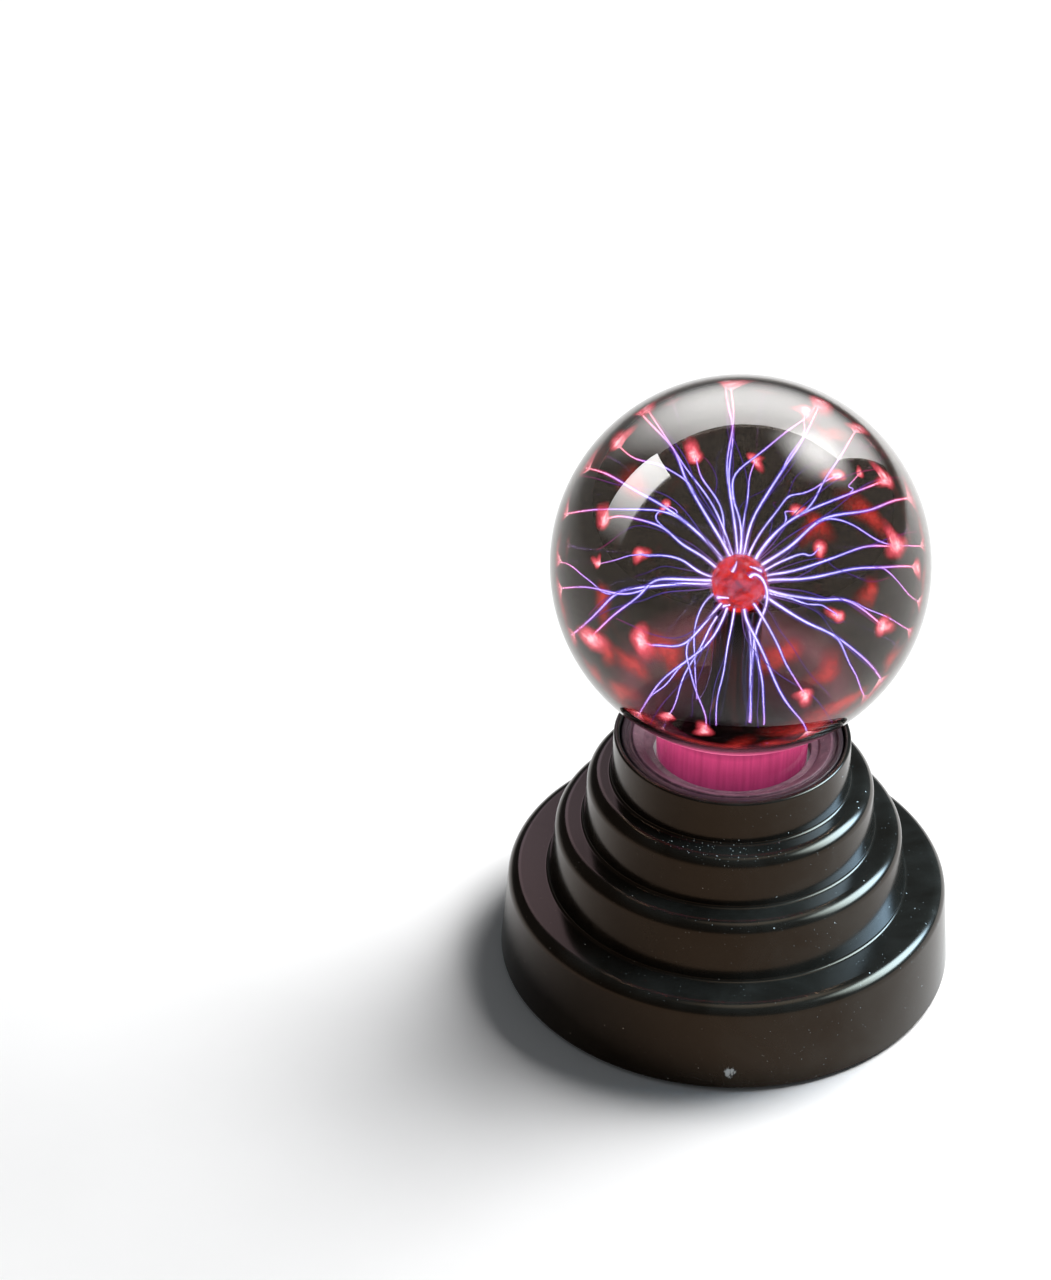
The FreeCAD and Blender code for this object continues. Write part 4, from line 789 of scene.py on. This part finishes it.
# Short licks of light that lie on the bulb where filaments start, given as the curl is.
LICKS = (
    ((-52, -14, 6.0), (-38, -4, 6.3), (-24, -2, 6.15)),
    ((-46, -40, 6.0), (-34, -26, 6.3), (-22, -20, 6.15)),
    ((-30, 52, 6.0), (-22, 66, 6.3), (-36, 76, 6.15)),
    ((70, 40, 6.0), (56, 52, 6.3), (40, 62, 6.15)),
)


def bezier(points, share):
    """A point on a cubic curve, its four controls given, at a share of the way."""
    a, b, c, d = points
    rest = 1 - share
    return a * rest ** 3 + b * 3 * rest ** 2 * share + c * 3 * rest * share ** 2 + d * share ** 3


def wandering(dice, steps, reach):
    """A smooth random sideways path that starts and ends at nothing: one offset for each step. Its shorter
    waves swing less."""
    waves = []
    for count in WANDER_WAVES:
        swing = Vector((dice.uniform(-1, 1), dice.uniform(-1, 1), dice.uniform(-1, 1)))
        waves.append((count, swing * reach / count ** 1.25, dice.uniform(0, math.tau)))
    offsets = []
    for step in range(steps + 1):
        share = step / steps
        fade = math.sin(math.pi * share) ** 0.8 if 0 < step < steps else 0.0
        offset = Vector((0, 0, 0))
        for count, swing, phase in waves:
            offset += swing * math.sin(math.pi * SLOWEST_WAVE * count * share + phase)
        offsets.append(offset * fade)
    return offsets


def filament_path(start, leave, end, arrive, bow, dice, steps=26, wander=0.05):
    """Points from the bulb to the globe: they leave and arrive along given directions and wander a little."""
    length = (end - start).length
    controls = (
        start,
        start + leave * length * LEAVE_REACH,
        end - arrive * length * ARRIVE_REACH + Vector((0, 0, bow * MM)),
        end,
    )
    offsets = wandering(dice, steps, length * wander)
    points = []
    for step in range(steps + 1):
        point = bezier(controls, step / steps) + offsets[step]
        from_centre = point - GLOBE_CENTRE
        limit = INSIDE_RADIUS - LANDING_GAP
        if from_centre.length > limit:
            point = GLOBE_CENTRE + from_centre.normalized() * limit
        points.append(point)
    return points


def tube(points, radii):
    """A thin closed tube along points, with a radius at each."""
    deselect()
    bpy.ops.curve.primitive_nurbs_path_add()
    strand = bpy.context.object
    curve = strand.data
    curve.splines.clear()
    spline = curve.splines.new("NURBS")
    spline.points.add(len(points) - 1)
    for point, place, radius in zip(spline.points, points, radii):
        point.co = (*place, 1)
        point.radius = radius / MM
    spline.order_u = 4
    spline.use_endpoint_u = True
    spline.resolution_u = 3
    curve.dimensions = "3D"
    curve.bevel_depth = MM
    curve.bevel_resolution = 2
    curve.use_fill_caps = True
    bpy.ops.object.convert(target="MESH")
    return bpy.context.object


def join(name, pieces):
    """Joins tubes or patches into one piece of separate closed shells."""
    pick(*pieces)
    bpy.ops.object.join()
    piece = bpy.context.object
    bpy.ops.object.mode_set(mode="EDIT")
    weld(0.0005 * MM)
    bpy.ops.object.mode_set(mode="OBJECT")
    return settle(piece, name, 60)


class Strand:
    """One filament: its points, its thickness against the usual one, and how that starts and ends."""

    def __init__(self, points, weight, start=1.0, end=0.6, swell=0.15):
        self.points, self.weight, self.start, self.end, self.swell = points, weight, start, end, swell

    def radii(self, base):
        last = len(self.points) - 1
        radii = []
        for step in range(last + 1):
            share = step / last
            taper = self.start + (self.end - self.start) * share
            radii.append(base * self.weight * (taper + self.swell * math.exp(-share * SWELL_FADE)))
        return radii


def root_to_tip(root, tip, bow, dice, **more):
    """A filament's path from a direction on the bulb to a direction on the globe."""
    start = on_sphere(BULB_CENTRE, BULB_RADIUS + ROOT_GAP, *root)
    end = on_sphere(GLOBE_CENTRE, INSIDE_RADIUS - LANDING_GAP, *tip)
    leave = (start - BULB_CENTRE).normalized()
    arrive = (end - GLOBE_CENTRE).normalized()
    return filament_path(start, leave, end, arrive, bow, dice, **more)


def root_to_stem(root, foot, dice, **more):
    """A filament's path from a direction on the bulb down to a place beside the foot of the stem."""
    start = on_sphere(BULB_CENTRE, BULB_RADIUS + ROOT_GAP, *root)
    leave = (start - BULB_CENTRE).normalized()
    return filament_path(start, leave, on_stem(*foot), Vector((0, 0, -1)), 0, dice, **more)


def main_strands():
    """Every bright filament, and every place where one lands on the glass."""
    dice = random.Random(SEED)
    strands, landings, trunks = [], [], {}
    for name, (root, tip, bow, weight) in FILAMENTS.items():
        trunks[name] = root_to_tip(root, tip, bow, dice)
        strands.append(Strand(trunks[name], weight))
        landings.append((tip, weight))
    for name, (parent, share, tip, bow, weight) in BRANCHES.items():
        trunk = trunks[parent]
        joint = int(share * (len(trunk) - 1))
        leave = (trunk[joint + 1] - trunk[joint - 1]).normalized()
        end = on_sphere(GLOBE_CENTRE, INSIDE_RADIUS - LANDING_GAP, *tip)
        arrive = (end - GLOBE_CENTRE).normalized()
        path = filament_path(trunk[joint], leave, end, arrive, bow, dice, steps=18)
        strands.append(Strand(path, weight, start=0.85, swell=0.0))
        landings.append((tip, weight))
    for root, foot, weight in STEM_FILAMENTS:
        strands.append(Strand(root_to_stem(root, foot, dice, steps=20, wander=0.02), weight))
    curl = [on_sphere(BULB_CENTRE, reach * MM, turn, rise) for turn, rise, reach in CURL]
    foot = on_stem(*CURL_FOOT)
    curl += [curl[-1].lerp(foot, 0.4), curl[-1].lerp(foot, 0.75), foot]
    strands.append(Strand(curl, 1.05, start=1.1, end=0.7, swell=0.6))
    for lick in LICKS:
        path = [on_sphere(BULB_CENTRE, reach * MM, turn, rise) for turn, rise, reach in lick]
        strands.append(Strand(path, 1.1, start=1.0, end=0.4, swell=0.5))
    return strands, landings


def faint_strands():
    """Dim violet filaments that run near the bright ones."""
    dice = random.Random(SEED + 7)
    strands = []
    for root, tip, bow, weight in FILAMENTS.values():
        near_root = (root[0] + dice.uniform(-9, 9), root[1] + dice.uniform(-9, 9))
        near_tip = (tip[0] + dice.uniform(-10, 10), tip[1] + dice.uniform(-9, 9))
        path = root_to_tip(near_root, near_tip, bow, dice, steps=20, wander=0.07)
        strands.append(Strand(path, weight * dice.uniform(0.55, 0.95), start=0.8, end=0.5, swell=0.0))
    for root, foot, weight in STEM_FILAMENTS:
        near_foot = (foot[0] + dice.uniform(-12, 12), foot[1] - 0.5)
        path = root_to_stem(root, near_foot, dice, steps=16, wander=0.03)
        strands.append(Strand(path, weight * 0.8, swell=0.0))
    return strands


def draw_strands(name, strands, radius):
    """Strands as one piece of tubes, with this radius for the usual thickness."""
    return join(name, [tube(strand.points, strand.radii(radius)) for strand in strands])


# ---- where the filaments land: soft lobed patches against the inside of the glass ----

PATCH_RINGS = 9
PATCH_SPOKES = 36
PATCH_REACH = INSIDE_RADIUS - 0.1 * MM
ROUND_PART = 0.7


def patch(longitude, latitude, size, depth, lobes, dice):
    """A thin closed lens on the inside of the globe, fading from its middle to a few soft arms."""
    outward = on_sphere(Vector((0, 0, 0)), 1.0, longitude, latitude)
    aside = outward.orthogonal().normalized()
    across = outward.cross(aside)
    arms = []
    for _ in range(lobes):
        arms.append((dice.uniform(0, math.tau), dice.uniform(0.3, 1.2), dice.uniform(0.35, 0.7)))
    deselect()
    bpy.ops.mesh.primitive_circle_add(vertices=PATCH_SPOKES, radius=size, fill_type="TRIFAN")
    piece = bpy.context.object
    mesh = bmesh.new()
    fades = mesh.verts.layers.float.new("fade")
    for side in (1, -1):
        last_row = None
        for ring in range(PATCH_RINGS + 1):
            share = ring / PATCH_RINGS
            row = []
            for spoke in range(PATCH_SPOKES):
                angle = math.tau * spoke / PATCH_SPOKES
                edge = ROUND_PART
                for arm_angle, arm_reach, arm_width in arms:
                    off = math.remainder(angle - arm_angle, math.tau) / arm_width
                    edge += arm_reach * math.exp(-off * off)
                run = size * share * edge
                flat = aside * math.cos(angle) * run + across * math.sin(angle) * run
                place = (outward * PATCH_REACH + flat).normalized()
                inset = depth * (1 - share) ** 1.5 if side < 0 else 0.0
                vert = mesh.verts.new(GLOBE_CENTRE + place * (PATCH_REACH - inset))
                vert[fades] = (1 - share) ** 1.3
                row.append(vert)
            if last_row:
                for spoke in range(PATCH_SPOKES):
                    beyond = (spoke + 1) % PATCH_SPOKES
                    mesh.faces.new((last_row[spoke], last_row[beyond], row[beyond], row[spoke]))
            last_row = row
    bmesh.ops.remove_doubles(mesh, verts=mesh.verts, dist=0.002 * MM)
    bmesh.ops.recalc_face_normals(mesh, faces=mesh.faces)
    mesh.to_mesh(piece.data)
    mesh.free()
    return piece


# Faint red smears on the glass away from the bright landings: longitude, latitude, size in millimetres.
SMEARS = (
    (-30, -55, 6), (-5, -58, 6), (20, -58, 6), (46, -54, 7), (70, -50, 6), (-56, -52, 6), (-78, -48, 6),
    (105, -56, 6), (140, -58, 6), (175, -58, 6), (-140, -58, 6), (-110, -54, 6), (78, -30, 5), (84, -2, 5),
    (92, 14, 4), (70, -44, 5), (-72, -34, 6), (-86, -14, 5), (-94, 4, 4), (150, -14, 4), (128, -4, 5),
    (-148, -2, 5), (146, 22, 4), (118, -26, 4), (-122, -30, 5), (-46, -6, 3), (32, -48, 5),
)


def make_patches(landings):
    """The bright patches where filaments land, and the faint smears, as two pieces."""
    dice = random.Random(SEED + 1)
    bright = []
    for (longitude, latitude), weight in landings:
        size = dice.uniform(2.9, 4.3) * weight * MM
        lobes = dice.choice((1, 2, 2, 3))
        bright.append(patch(longitude, latitude, size, 1.1 * MM, lobes, dice))
    faint = [patch(longitude, latitude, size * MM, 0.1 * MM, 3, dice) for longitude, latitude, size in SMEARS]
    return join("discharge_landings", bright), join("discharge_smears", faint)


# ---- the materials of the discharge ----

def lit_gas(name, strength, alpha, *tones):
    """Glowing gas: its colour runs along the distance from the bulb, and its brightness flickers a little."""
    finish = Finish(name, Roughness=1.0, Specular_IOR_Level=0.0)
    away = finish.span(finish.distance(BULB_CENTRE), BULB_RADIUS, 40 * MM)
    flicker = finish.noise(5, detail=2)
    finish.paint(
        Base_Color=(0, 0, 0),
        Emission_Color=finish.ramp(away, *tones),
        Emission_Strength=finish.span(flicker, 0.3, 0.7, strength * 0.75, strength * 1.2),
        Alpha=alpha,
    )
    return unlit_by_sampling(finish)


def landing_gas(name, strength, alpha, streak, *tones):
    """Gas that spreads on the glass, brightest in the middle and breaking up towards its edge."""
    finish = Finish(name, Roughness=1.0, Specular_IOR_Level=0.0)
    fade = finish.attribute("fade")
    wisps = finish.noise(streak, detail=4, rough=0.6, warp=0.8)
    body = finish.sum("MULTIPLY", fade, finish.span(wisps, 0.25, 0.7, 0.4, 1.3))
    finish.paint(
        Base_Color=(0, 0, 0),
        Emission_Color=finish.ramp(body, *tones),
        Emission_Strength=strength,
        Alpha=finish.span(body, 0.0, 0.75, 0.0, alpha),
    )
    return unlit_by_sampling(finish)


def halo_skin():
    """The pink and lavender skin of light round the electrode, uneven and thin."""
    finish = Finish("halo_skin", Roughness=1.0, Specular_IOR_Level=0.0)
    cloud = finish.noise(2.2, detail=4, warp=0.5)
    finish.paint(
        Base_Color=(0, 0, 0),
        Emission_Color=finish.ramp(cloud, (0.35, (0.9, 0.12, 0.2)), (0.65, (0.8, 0.5, 0.95))),
        Emission_Strength=4.5,
        Alpha=finish.span(cloud, 0.3, 0.7, 0.03, 0.12),
    )
    return unlit_by_sampling(finish)


# ---- light, floor and camera ----

def soft_light(name, place, aim, size, power, colour, only, roll=0, fade=None):
    """A studio softbox: a rectangle of light at a place, turned towards a point, that lights the given pieces
    only. Roll turns it in its own plane, in degrees. A fade gives, for its left, right, foot and top, the
    share of its width or height over which its light rises from nothing at that side."""
    data = bpy.data.lights.new(name, "AREA")
    data.shape = "RECTANGLE"
    data.size, data.size_y = size
    data.energy = power
    data.color = colour
    lamp = bpy.data.objects.new(name, data)
    bpy.context.scene.collection.objects.link(lamp)
    place = Vector(place)
    lamp.location = place
    facing = (Vector(aim) - place).to_track_quat("-Z", "Y")
    lamp.rotation_euler = (facing @ Euler((0, 0, math.radians(roll))).to_quaternion()).to_euler()
    lamp.visible_camera = False
    lamp.light_linking.receiver_collection = only
    if fade is not None:
        fade_softbox(data, *fade)
    return lamp


def fade_softbox(data, left, right, foot, top):
    """Dims a softbox towards its sides: each share says how far in from a side its light is still rising."""
    data.use_nodes = True
    tree = data.node_tree
    geometry = tree.nodes.new("ShaderNodeNewGeometry")
    split = tree.nodes.new("ShaderNodeSeparateXYZ")
    tree.links.new(geometry.outputs["Parametric"], split.inputs["Vector"])
    result = None
    sides = (("X", left, False), ("X", right, True), ("Y", foot, False), ("Y", top, True))
    for letter, edge, inwards in sides:
        if not edge:
            continue
        rise = tree.nodes.new("ShaderNodeMapRange")
        rise.interpolation_type = "SMOOTHSTEP"
        tree.links.new(split.outputs[letter], rise.inputs["Value"])
        rise.inputs["From Min"].default_value = 1.0 if inwards else 0.0
        rise.inputs["From Max"].default_value = 1.0 - edge if inwards else edge
        if result is None:
            result = rise.outputs["Result"]
            continue
        product = tree.nodes.new("ShaderNodeMath")
        product.operation = "MULTIPLY"
        tree.links.new(result, product.inputs[0])
        tree.links.new(rise.outputs["Result"], product.inputs[1])
        result = product.outputs[0]
    tree.links.new(result, tree.nodes["Emission"].inputs["Strength"])


def group(name, pieces):
    """A named collection of pieces for a light to shine on."""
    collection = bpy.data.collections.new(name)
    for piece in pieces:
        collection.objects.link(piece)
    return collection


TABLE_RADIUS = 2.3
TABLE_RIM = 0.3
# Each ring of the tabletop's rim lies this far below the one before it, and each is this share as wide.
RIM_DROPS = (0.2, 0.08, 0.02)
RIM_SHARE = 0.9

CAMERA_PLACE = (-0.045, -0.5473, 0.4531)
CAMERA_TILT = 55.91
LENS = 87.21
SENSOR = 36


def make_floor():
    """A pale, faintly cloudy tabletop, its rim drawn up all round so that it closes the view."""
    deselect()
    bpy.ops.mesh.primitive_circle_add(vertices=96, radius=TABLE_RADIUS, location=(0, 0, TABLE_RIM))
    floor = bpy.context.object
    bpy.ops.object.mode_set(mode="EDIT")
    bpy.ops.mesh.select_all(action="SELECT")
    for drop in RIM_DROPS:
        bpy.ops.mesh.extrude_region_move(TRANSFORM_OT_translate={"value": (0, 0, -drop)})
        bpy.ops.transform.resize(value=(RIM_SHARE, RIM_SHARE, 1), center_override=(0, 0, 0))
    bpy.ops.mesh.edge_face_add()
    bpy.ops.object.mode_set(mode="OBJECT")
    settle(floor, "tabletop", 60)
    finish = Finish("pale_tabletop", Specular_IOR_Level=0.2, Roughness=0.7)
    tone = finish.noise(60, detail=4)
    finish.paint(Base_Color=finish.ramp(tone, (0.3, grey(0.86)), (0.7, grey(0.89))))
    floor.data.materials.append(finish.material)
    floor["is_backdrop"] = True
    return floor


def make_camera():
    """The camera, above the front and looking down at the ball."""
    data = bpy.data.cameras.new("camera")
    data.lens = LENS
    data.sensor_width = SENSOR
    camera = bpy.data.objects.new("camera", data)
    bpy.context.scene.collection.objects.link(camera)
    camera.location = CAMERA_PLACE
    camera.rotation_euler = (math.radians(CAMERA_TILT), 0, 0)
    bpy.context.scene.camera = camera
    return camera


def make_surroundings():
    """A dim grey room, so that level faces of the gloss black stay black."""
    world = bpy.data.worlds.new("dim_room")
    world.use_nodes = True
    background = world.node_tree.nodes["Background"]
    background.inputs["Color"].default_value = (0.92, 0.96, 1.0, 1)
    background.inputs["Strength"].default_value = 0.12
    bpy.context.scene.world = world


make_camera()
make_surroundings()
floor = make_floor()


# ---- new pieces ----

def finish_piece(piece, material, slot, *replaced):
    """Gives a new piece its material, hides the nodes it stands for and sets it in its body. The slot is not
    used.
    """
    piece.data.materials.clear()
    piece.data.materials.append(material)
    if replaced:
        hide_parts(*replaced)
    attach(piece, "base")
    return piece


globe = finish_piece(
    turn_outline("globe_shell", globe_outline(), 224), smoky_glass("smoky_globe_glass", lit_neck=True),
    "globe_glass", "glass_globe",
)
finish_piece(make_stem(), black_stem_glass(), "stem_coating", "inner_stem")
finish_piece(make_bulb(), glowing_bulb(), "electrode_glass", "electrode_bulb")
finish_piece(make_seat_ring(), dust_and_painted_glow_seat_ring(), "ring_plastic", "globe_seat_ring")
housing = finish_piece(make_housing(), gloss_black_housing(), "base_plastic", "base_housing")

bright_strands, landings = main_strands()
bright_landings, faint_smears = make_patches(landings)

# Each layer of the discharge: its strands and their radius in millimetres, its strength and how solid it is,
# and its colours from the bulb to the glass.
LAYERS = {
    "core": (
        bright_strands, 0.16, 19.0, 1.0,
        (0.0, (0.70, 0.68, 1.0)), (0.15, (0.62, 0.64, 1.0)), (0.5, (0.48, 0.50, 1.0)),
        (0.82, (0.48, 0.38, 0.92)), (1.0, (0.95, 0.45, 0.62)),
    ),
    "glow": (
        bright_strands, 0.33, 9.0, 0.42,
        (0.0, (0.34, 0.24, 0.85)), (0.2, (0.22, 0.19, 0.90)), (0.6, (0.14, 0.11, 0.85)),
        (0.85, (0.32, 0.08, 0.60)), (1.0, (0.9, 0.12, 0.25)),
    ),
    "haze": (
        bright_strands, 0.62, 7.0, 0.12,
        (0.0, (0.30, 0.14, 0.62)), (0.25, (0.12, 0.09, 0.70)), (0.7, (0.08, 0.05, 0.60)),
        (1.0, (0.70, 0.05, 0.12)),
    ),
    "faint": (
        faint_strands(), 0.2, 5.0, 0.5,
        (0.0, (0.30, 0.15, 0.45)), (0.3, (0.10, 0.07, 0.55)), (0.8, (0.12, 0.04, 0.45)),
        (1.0, (0.50, 0.05, 0.20)),
    ),
}
glows = []
for name, (strands, radius, strength, alpha, *tones) in LAYERS.items():
    layer = draw_strands(f"discharge_{name}", strands, radius * MM)
    glows.append(finish_piece(layer, lit_gas(f"{name}_gas", strength, alpha, *tones), "discharge_gas"))
glows.append(finish_piece(bright_landings, landing_gas(
    "landing_gas", 9.5, 0.85, 1.6,
    (0.0, (0.5, 0.028, 0.05)), (0.35, (0.8, 0.10, 0.16)), (0.6, (0.95, 0.30, 0.41)),
    (0.85, (1.0, 0.62, 0.74)),
), "discharge_gas"))
glows.append(finish_piece(faint_smears, landing_gas(
    "smear_gas", 7.0, 0.30, 1.3,
    (0.0, (0.35, 0.01, 0.01)), (0.5, (0.7, 0.035, 0.03)), (1.0, (0.9, 0.08, 0.08)),
), "discharge_gas"))
glows.append(finish_piece(make_bulb_halo(), halo_skin(), "discharge_gas"))


# ---- finishes of the pieces that keep the frame's shape ----

def dress(node, material):
    """Gives a CAD piece its finish."""
    mesh = nodes[node].data
    mesh.materials.clear()
    mesh.materials.append(material)


dress("bottom_cover", moulding("textured_cover", (0.02, 0.02, 0.022), 0.5, grain=0.25, depth=0.05))
dress("rubber_feet", soft_rubber("foot_rubber", (0.03, 0.03, 0.032)))
for node in ("stem_plug", "neck_sealant"):
    dress(node, soft_rubber("cured_silicone", (0.75, 0.74, 0.70), 0.4))
for node in ("cover_screws", "board_screws", "heatsink_screw"):
    dress(node, metal("zinc_plate", (0.6, 0.6, 0.6), 0.3))
dress("exhaust_tip", smoky_glass("smoky_tip_glass"))
dress("steel_wool_wad", metal("steel_wool", (0.45, 0.44, 0.43), 0.5, wear=0.6))
dress("circuit_board", lacquer("solder_mask", (0.03, 0.20, 0.07), 0.3, drip=4))
dress("transformer_core", moulding("sintered_ferrite", (0.06, 0.06, 0.065), 0.45))
dress("transformer_bobbin", moulding("bobbin_nylon", (0.05, 0.05, 0.05), 0.4))
dress("primary_winding", metal("enamelled_copper", (0.72, 0.30, 0.14), 0.3))
dress("secondary_winding", lacquer("winding_tape", (0.85, 0.62, 0.06), 0.35))
for node in ("transistor_body", "small_transistors", "control_chip"):
    dress(node, moulding("moulded_epoxy", (0.03, 0.03, 0.03), 0.4))
for node in ("transistor_tab", "component_leads", "jack_pin"):
    dress(node, metal("tin_plate", (0.72, 0.71, 0.68), 0.25))
dress("heatsink", metal("extruded_aluminium", (0.75, 0.76, 0.78), 0.3, streaks=(1, 1, 0.05)))
dress("electrolytic_capacitors", lacquer("shrink_sleeve", (0.03, 0.04, 0.16), 0.2))
dress("film_capacitor", lacquer("dipped_film_case", (0.5, 0.09, 0.05), 0.25))
dress("ceramic_capacitors", lacquer("dipped_disc", (0.62, 0.30, 0.10), 0.35))
dress("resistors", lacquer("resistor_lacquer", (0.72, 0.60, 0.42), 0.35))
dress("solder_joints", metal("bright_solder", (0.62, 0.62, 0.64), 0.2))
dress("microphone_capsule", metal("capsule_can", (0.78, 0.78, 0.78), 0.3))
dress("microphone_boot", soft_rubber("boot_rubber", (0.03, 0.03, 0.03)))
dress("jack_body", moulding("jack_plastic", (0.025, 0.025, 0.025), 0.35))
for node in ("jack_contact", "switch_contacts", "switch_wiper"):
    dress(node, metal("spring_brass", (0.78, 0.60, 0.30), 0.25))
dress("switch_can", metal("nickel_plate", (0.65, 0.65, 0.64), 0.25))
dress("switch_base", moulding("phenolic_sheet", (0.30, 0.16, 0.07), 0.4))
dress("switch_slider", moulding("switch_plastic", (0.03, 0.03, 0.03), 0.35))
dress("high_voltage_lead", soft_rubber("wire_insulation", (0.6, 0.05, 0.04), 0.35))

# ---- lights ----

globe.visible_shadow = False
globe.visible_diffuse = False
for glow in glows:
    glow.visible_diffuse = False
globe_pieces = group("globe_glass_pieces", [globe])
housing_pieces = group("housing_pieces", [housing])
small_pieces = group("small_pieces", [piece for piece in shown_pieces() if piece not in (globe, housing)])
object_pieces = group("object_pieces", [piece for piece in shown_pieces() if piece is not globe])
floor_pieces = group("floor_pieces", [floor])
AIM = (0, 0, 0.04)
WHITE = grey(1)

soft_light(
    "table_softbox", place=(0.74, 0.52, 0.95), aim=(0, 0, 0), size=(0.8, 0.8), power=34, colour=WHITE,
    only=floor_pieces,
)
soft_light(
    "housing_softbox", place=(1.08, -0.05, 0.80), aim=AIM, size=(1.5, 1.1), power=430,
    colour=(0.37, 0.67, 1.0), only=housing_pieces, fade=(0.6, 0.2, 0.3, 0.3),
)
soft_light(
    "ledge_softbox", place=(-0.145, 0.96, 0.75), aim=AIM, size=(0.45, 0.45), power=1.9,
    colour=(0.84, 0.76, 1.0), only=housing_pieces, fade=(0.6, 0, 0.2, 0.2),
)
soft_light(
    "right_softbox", place=(0.85, 0.30, 0.85), aim=AIM, size=(0.7, 1.3), power=38,
    colour=(0.95, 0.97, 1.0), only=small_pieces, fade=(0.4, 0.3, 0.3, 0.3),
)
soft_light(
    "top_softbox", place=(0.2, -0.15, 1.2), aim=AIM, size=(1.3, 0.9), power=11,
    colour=(0.72, 0.88, 1.0), only=object_pieces, fade=(0.5, 0.2, 0.4, 0.4),
)
soft_light(
    "globe_rear_softbox", place=(0.0, 1.25, 0.78), aim=GLOBE_CENTRE, size=(3.0, 1.5), power=215,
    colour=WHITE, only=globe_pieces, fade=(0, 0.45, 0.8, 0),
)
soft_light(
    "globe_window", place=(-0.955, 0.215, 0.62), aim=GLOBE_CENTRE, size=(0.44, 0.9), power=42,
    colour=WHITE, only=globe_pieces, roll=25, fade=(0, 0.1, 0.9, 0),
)
soft_light(
    "globe_right_glow", place=(0.62, 0.40, 0.95), aim=GLOBE_CENTRE, size=(0.85, 0.85), power=70,
    colour=WHITE, only=globe_pieces, fade=(0.5, 0.5, 0.5, 0.5),
)

bpy.context.scene.view_settings.view_transform = "Standard"
bpy.context.scene.cycles.transparent_max_bounces = 48
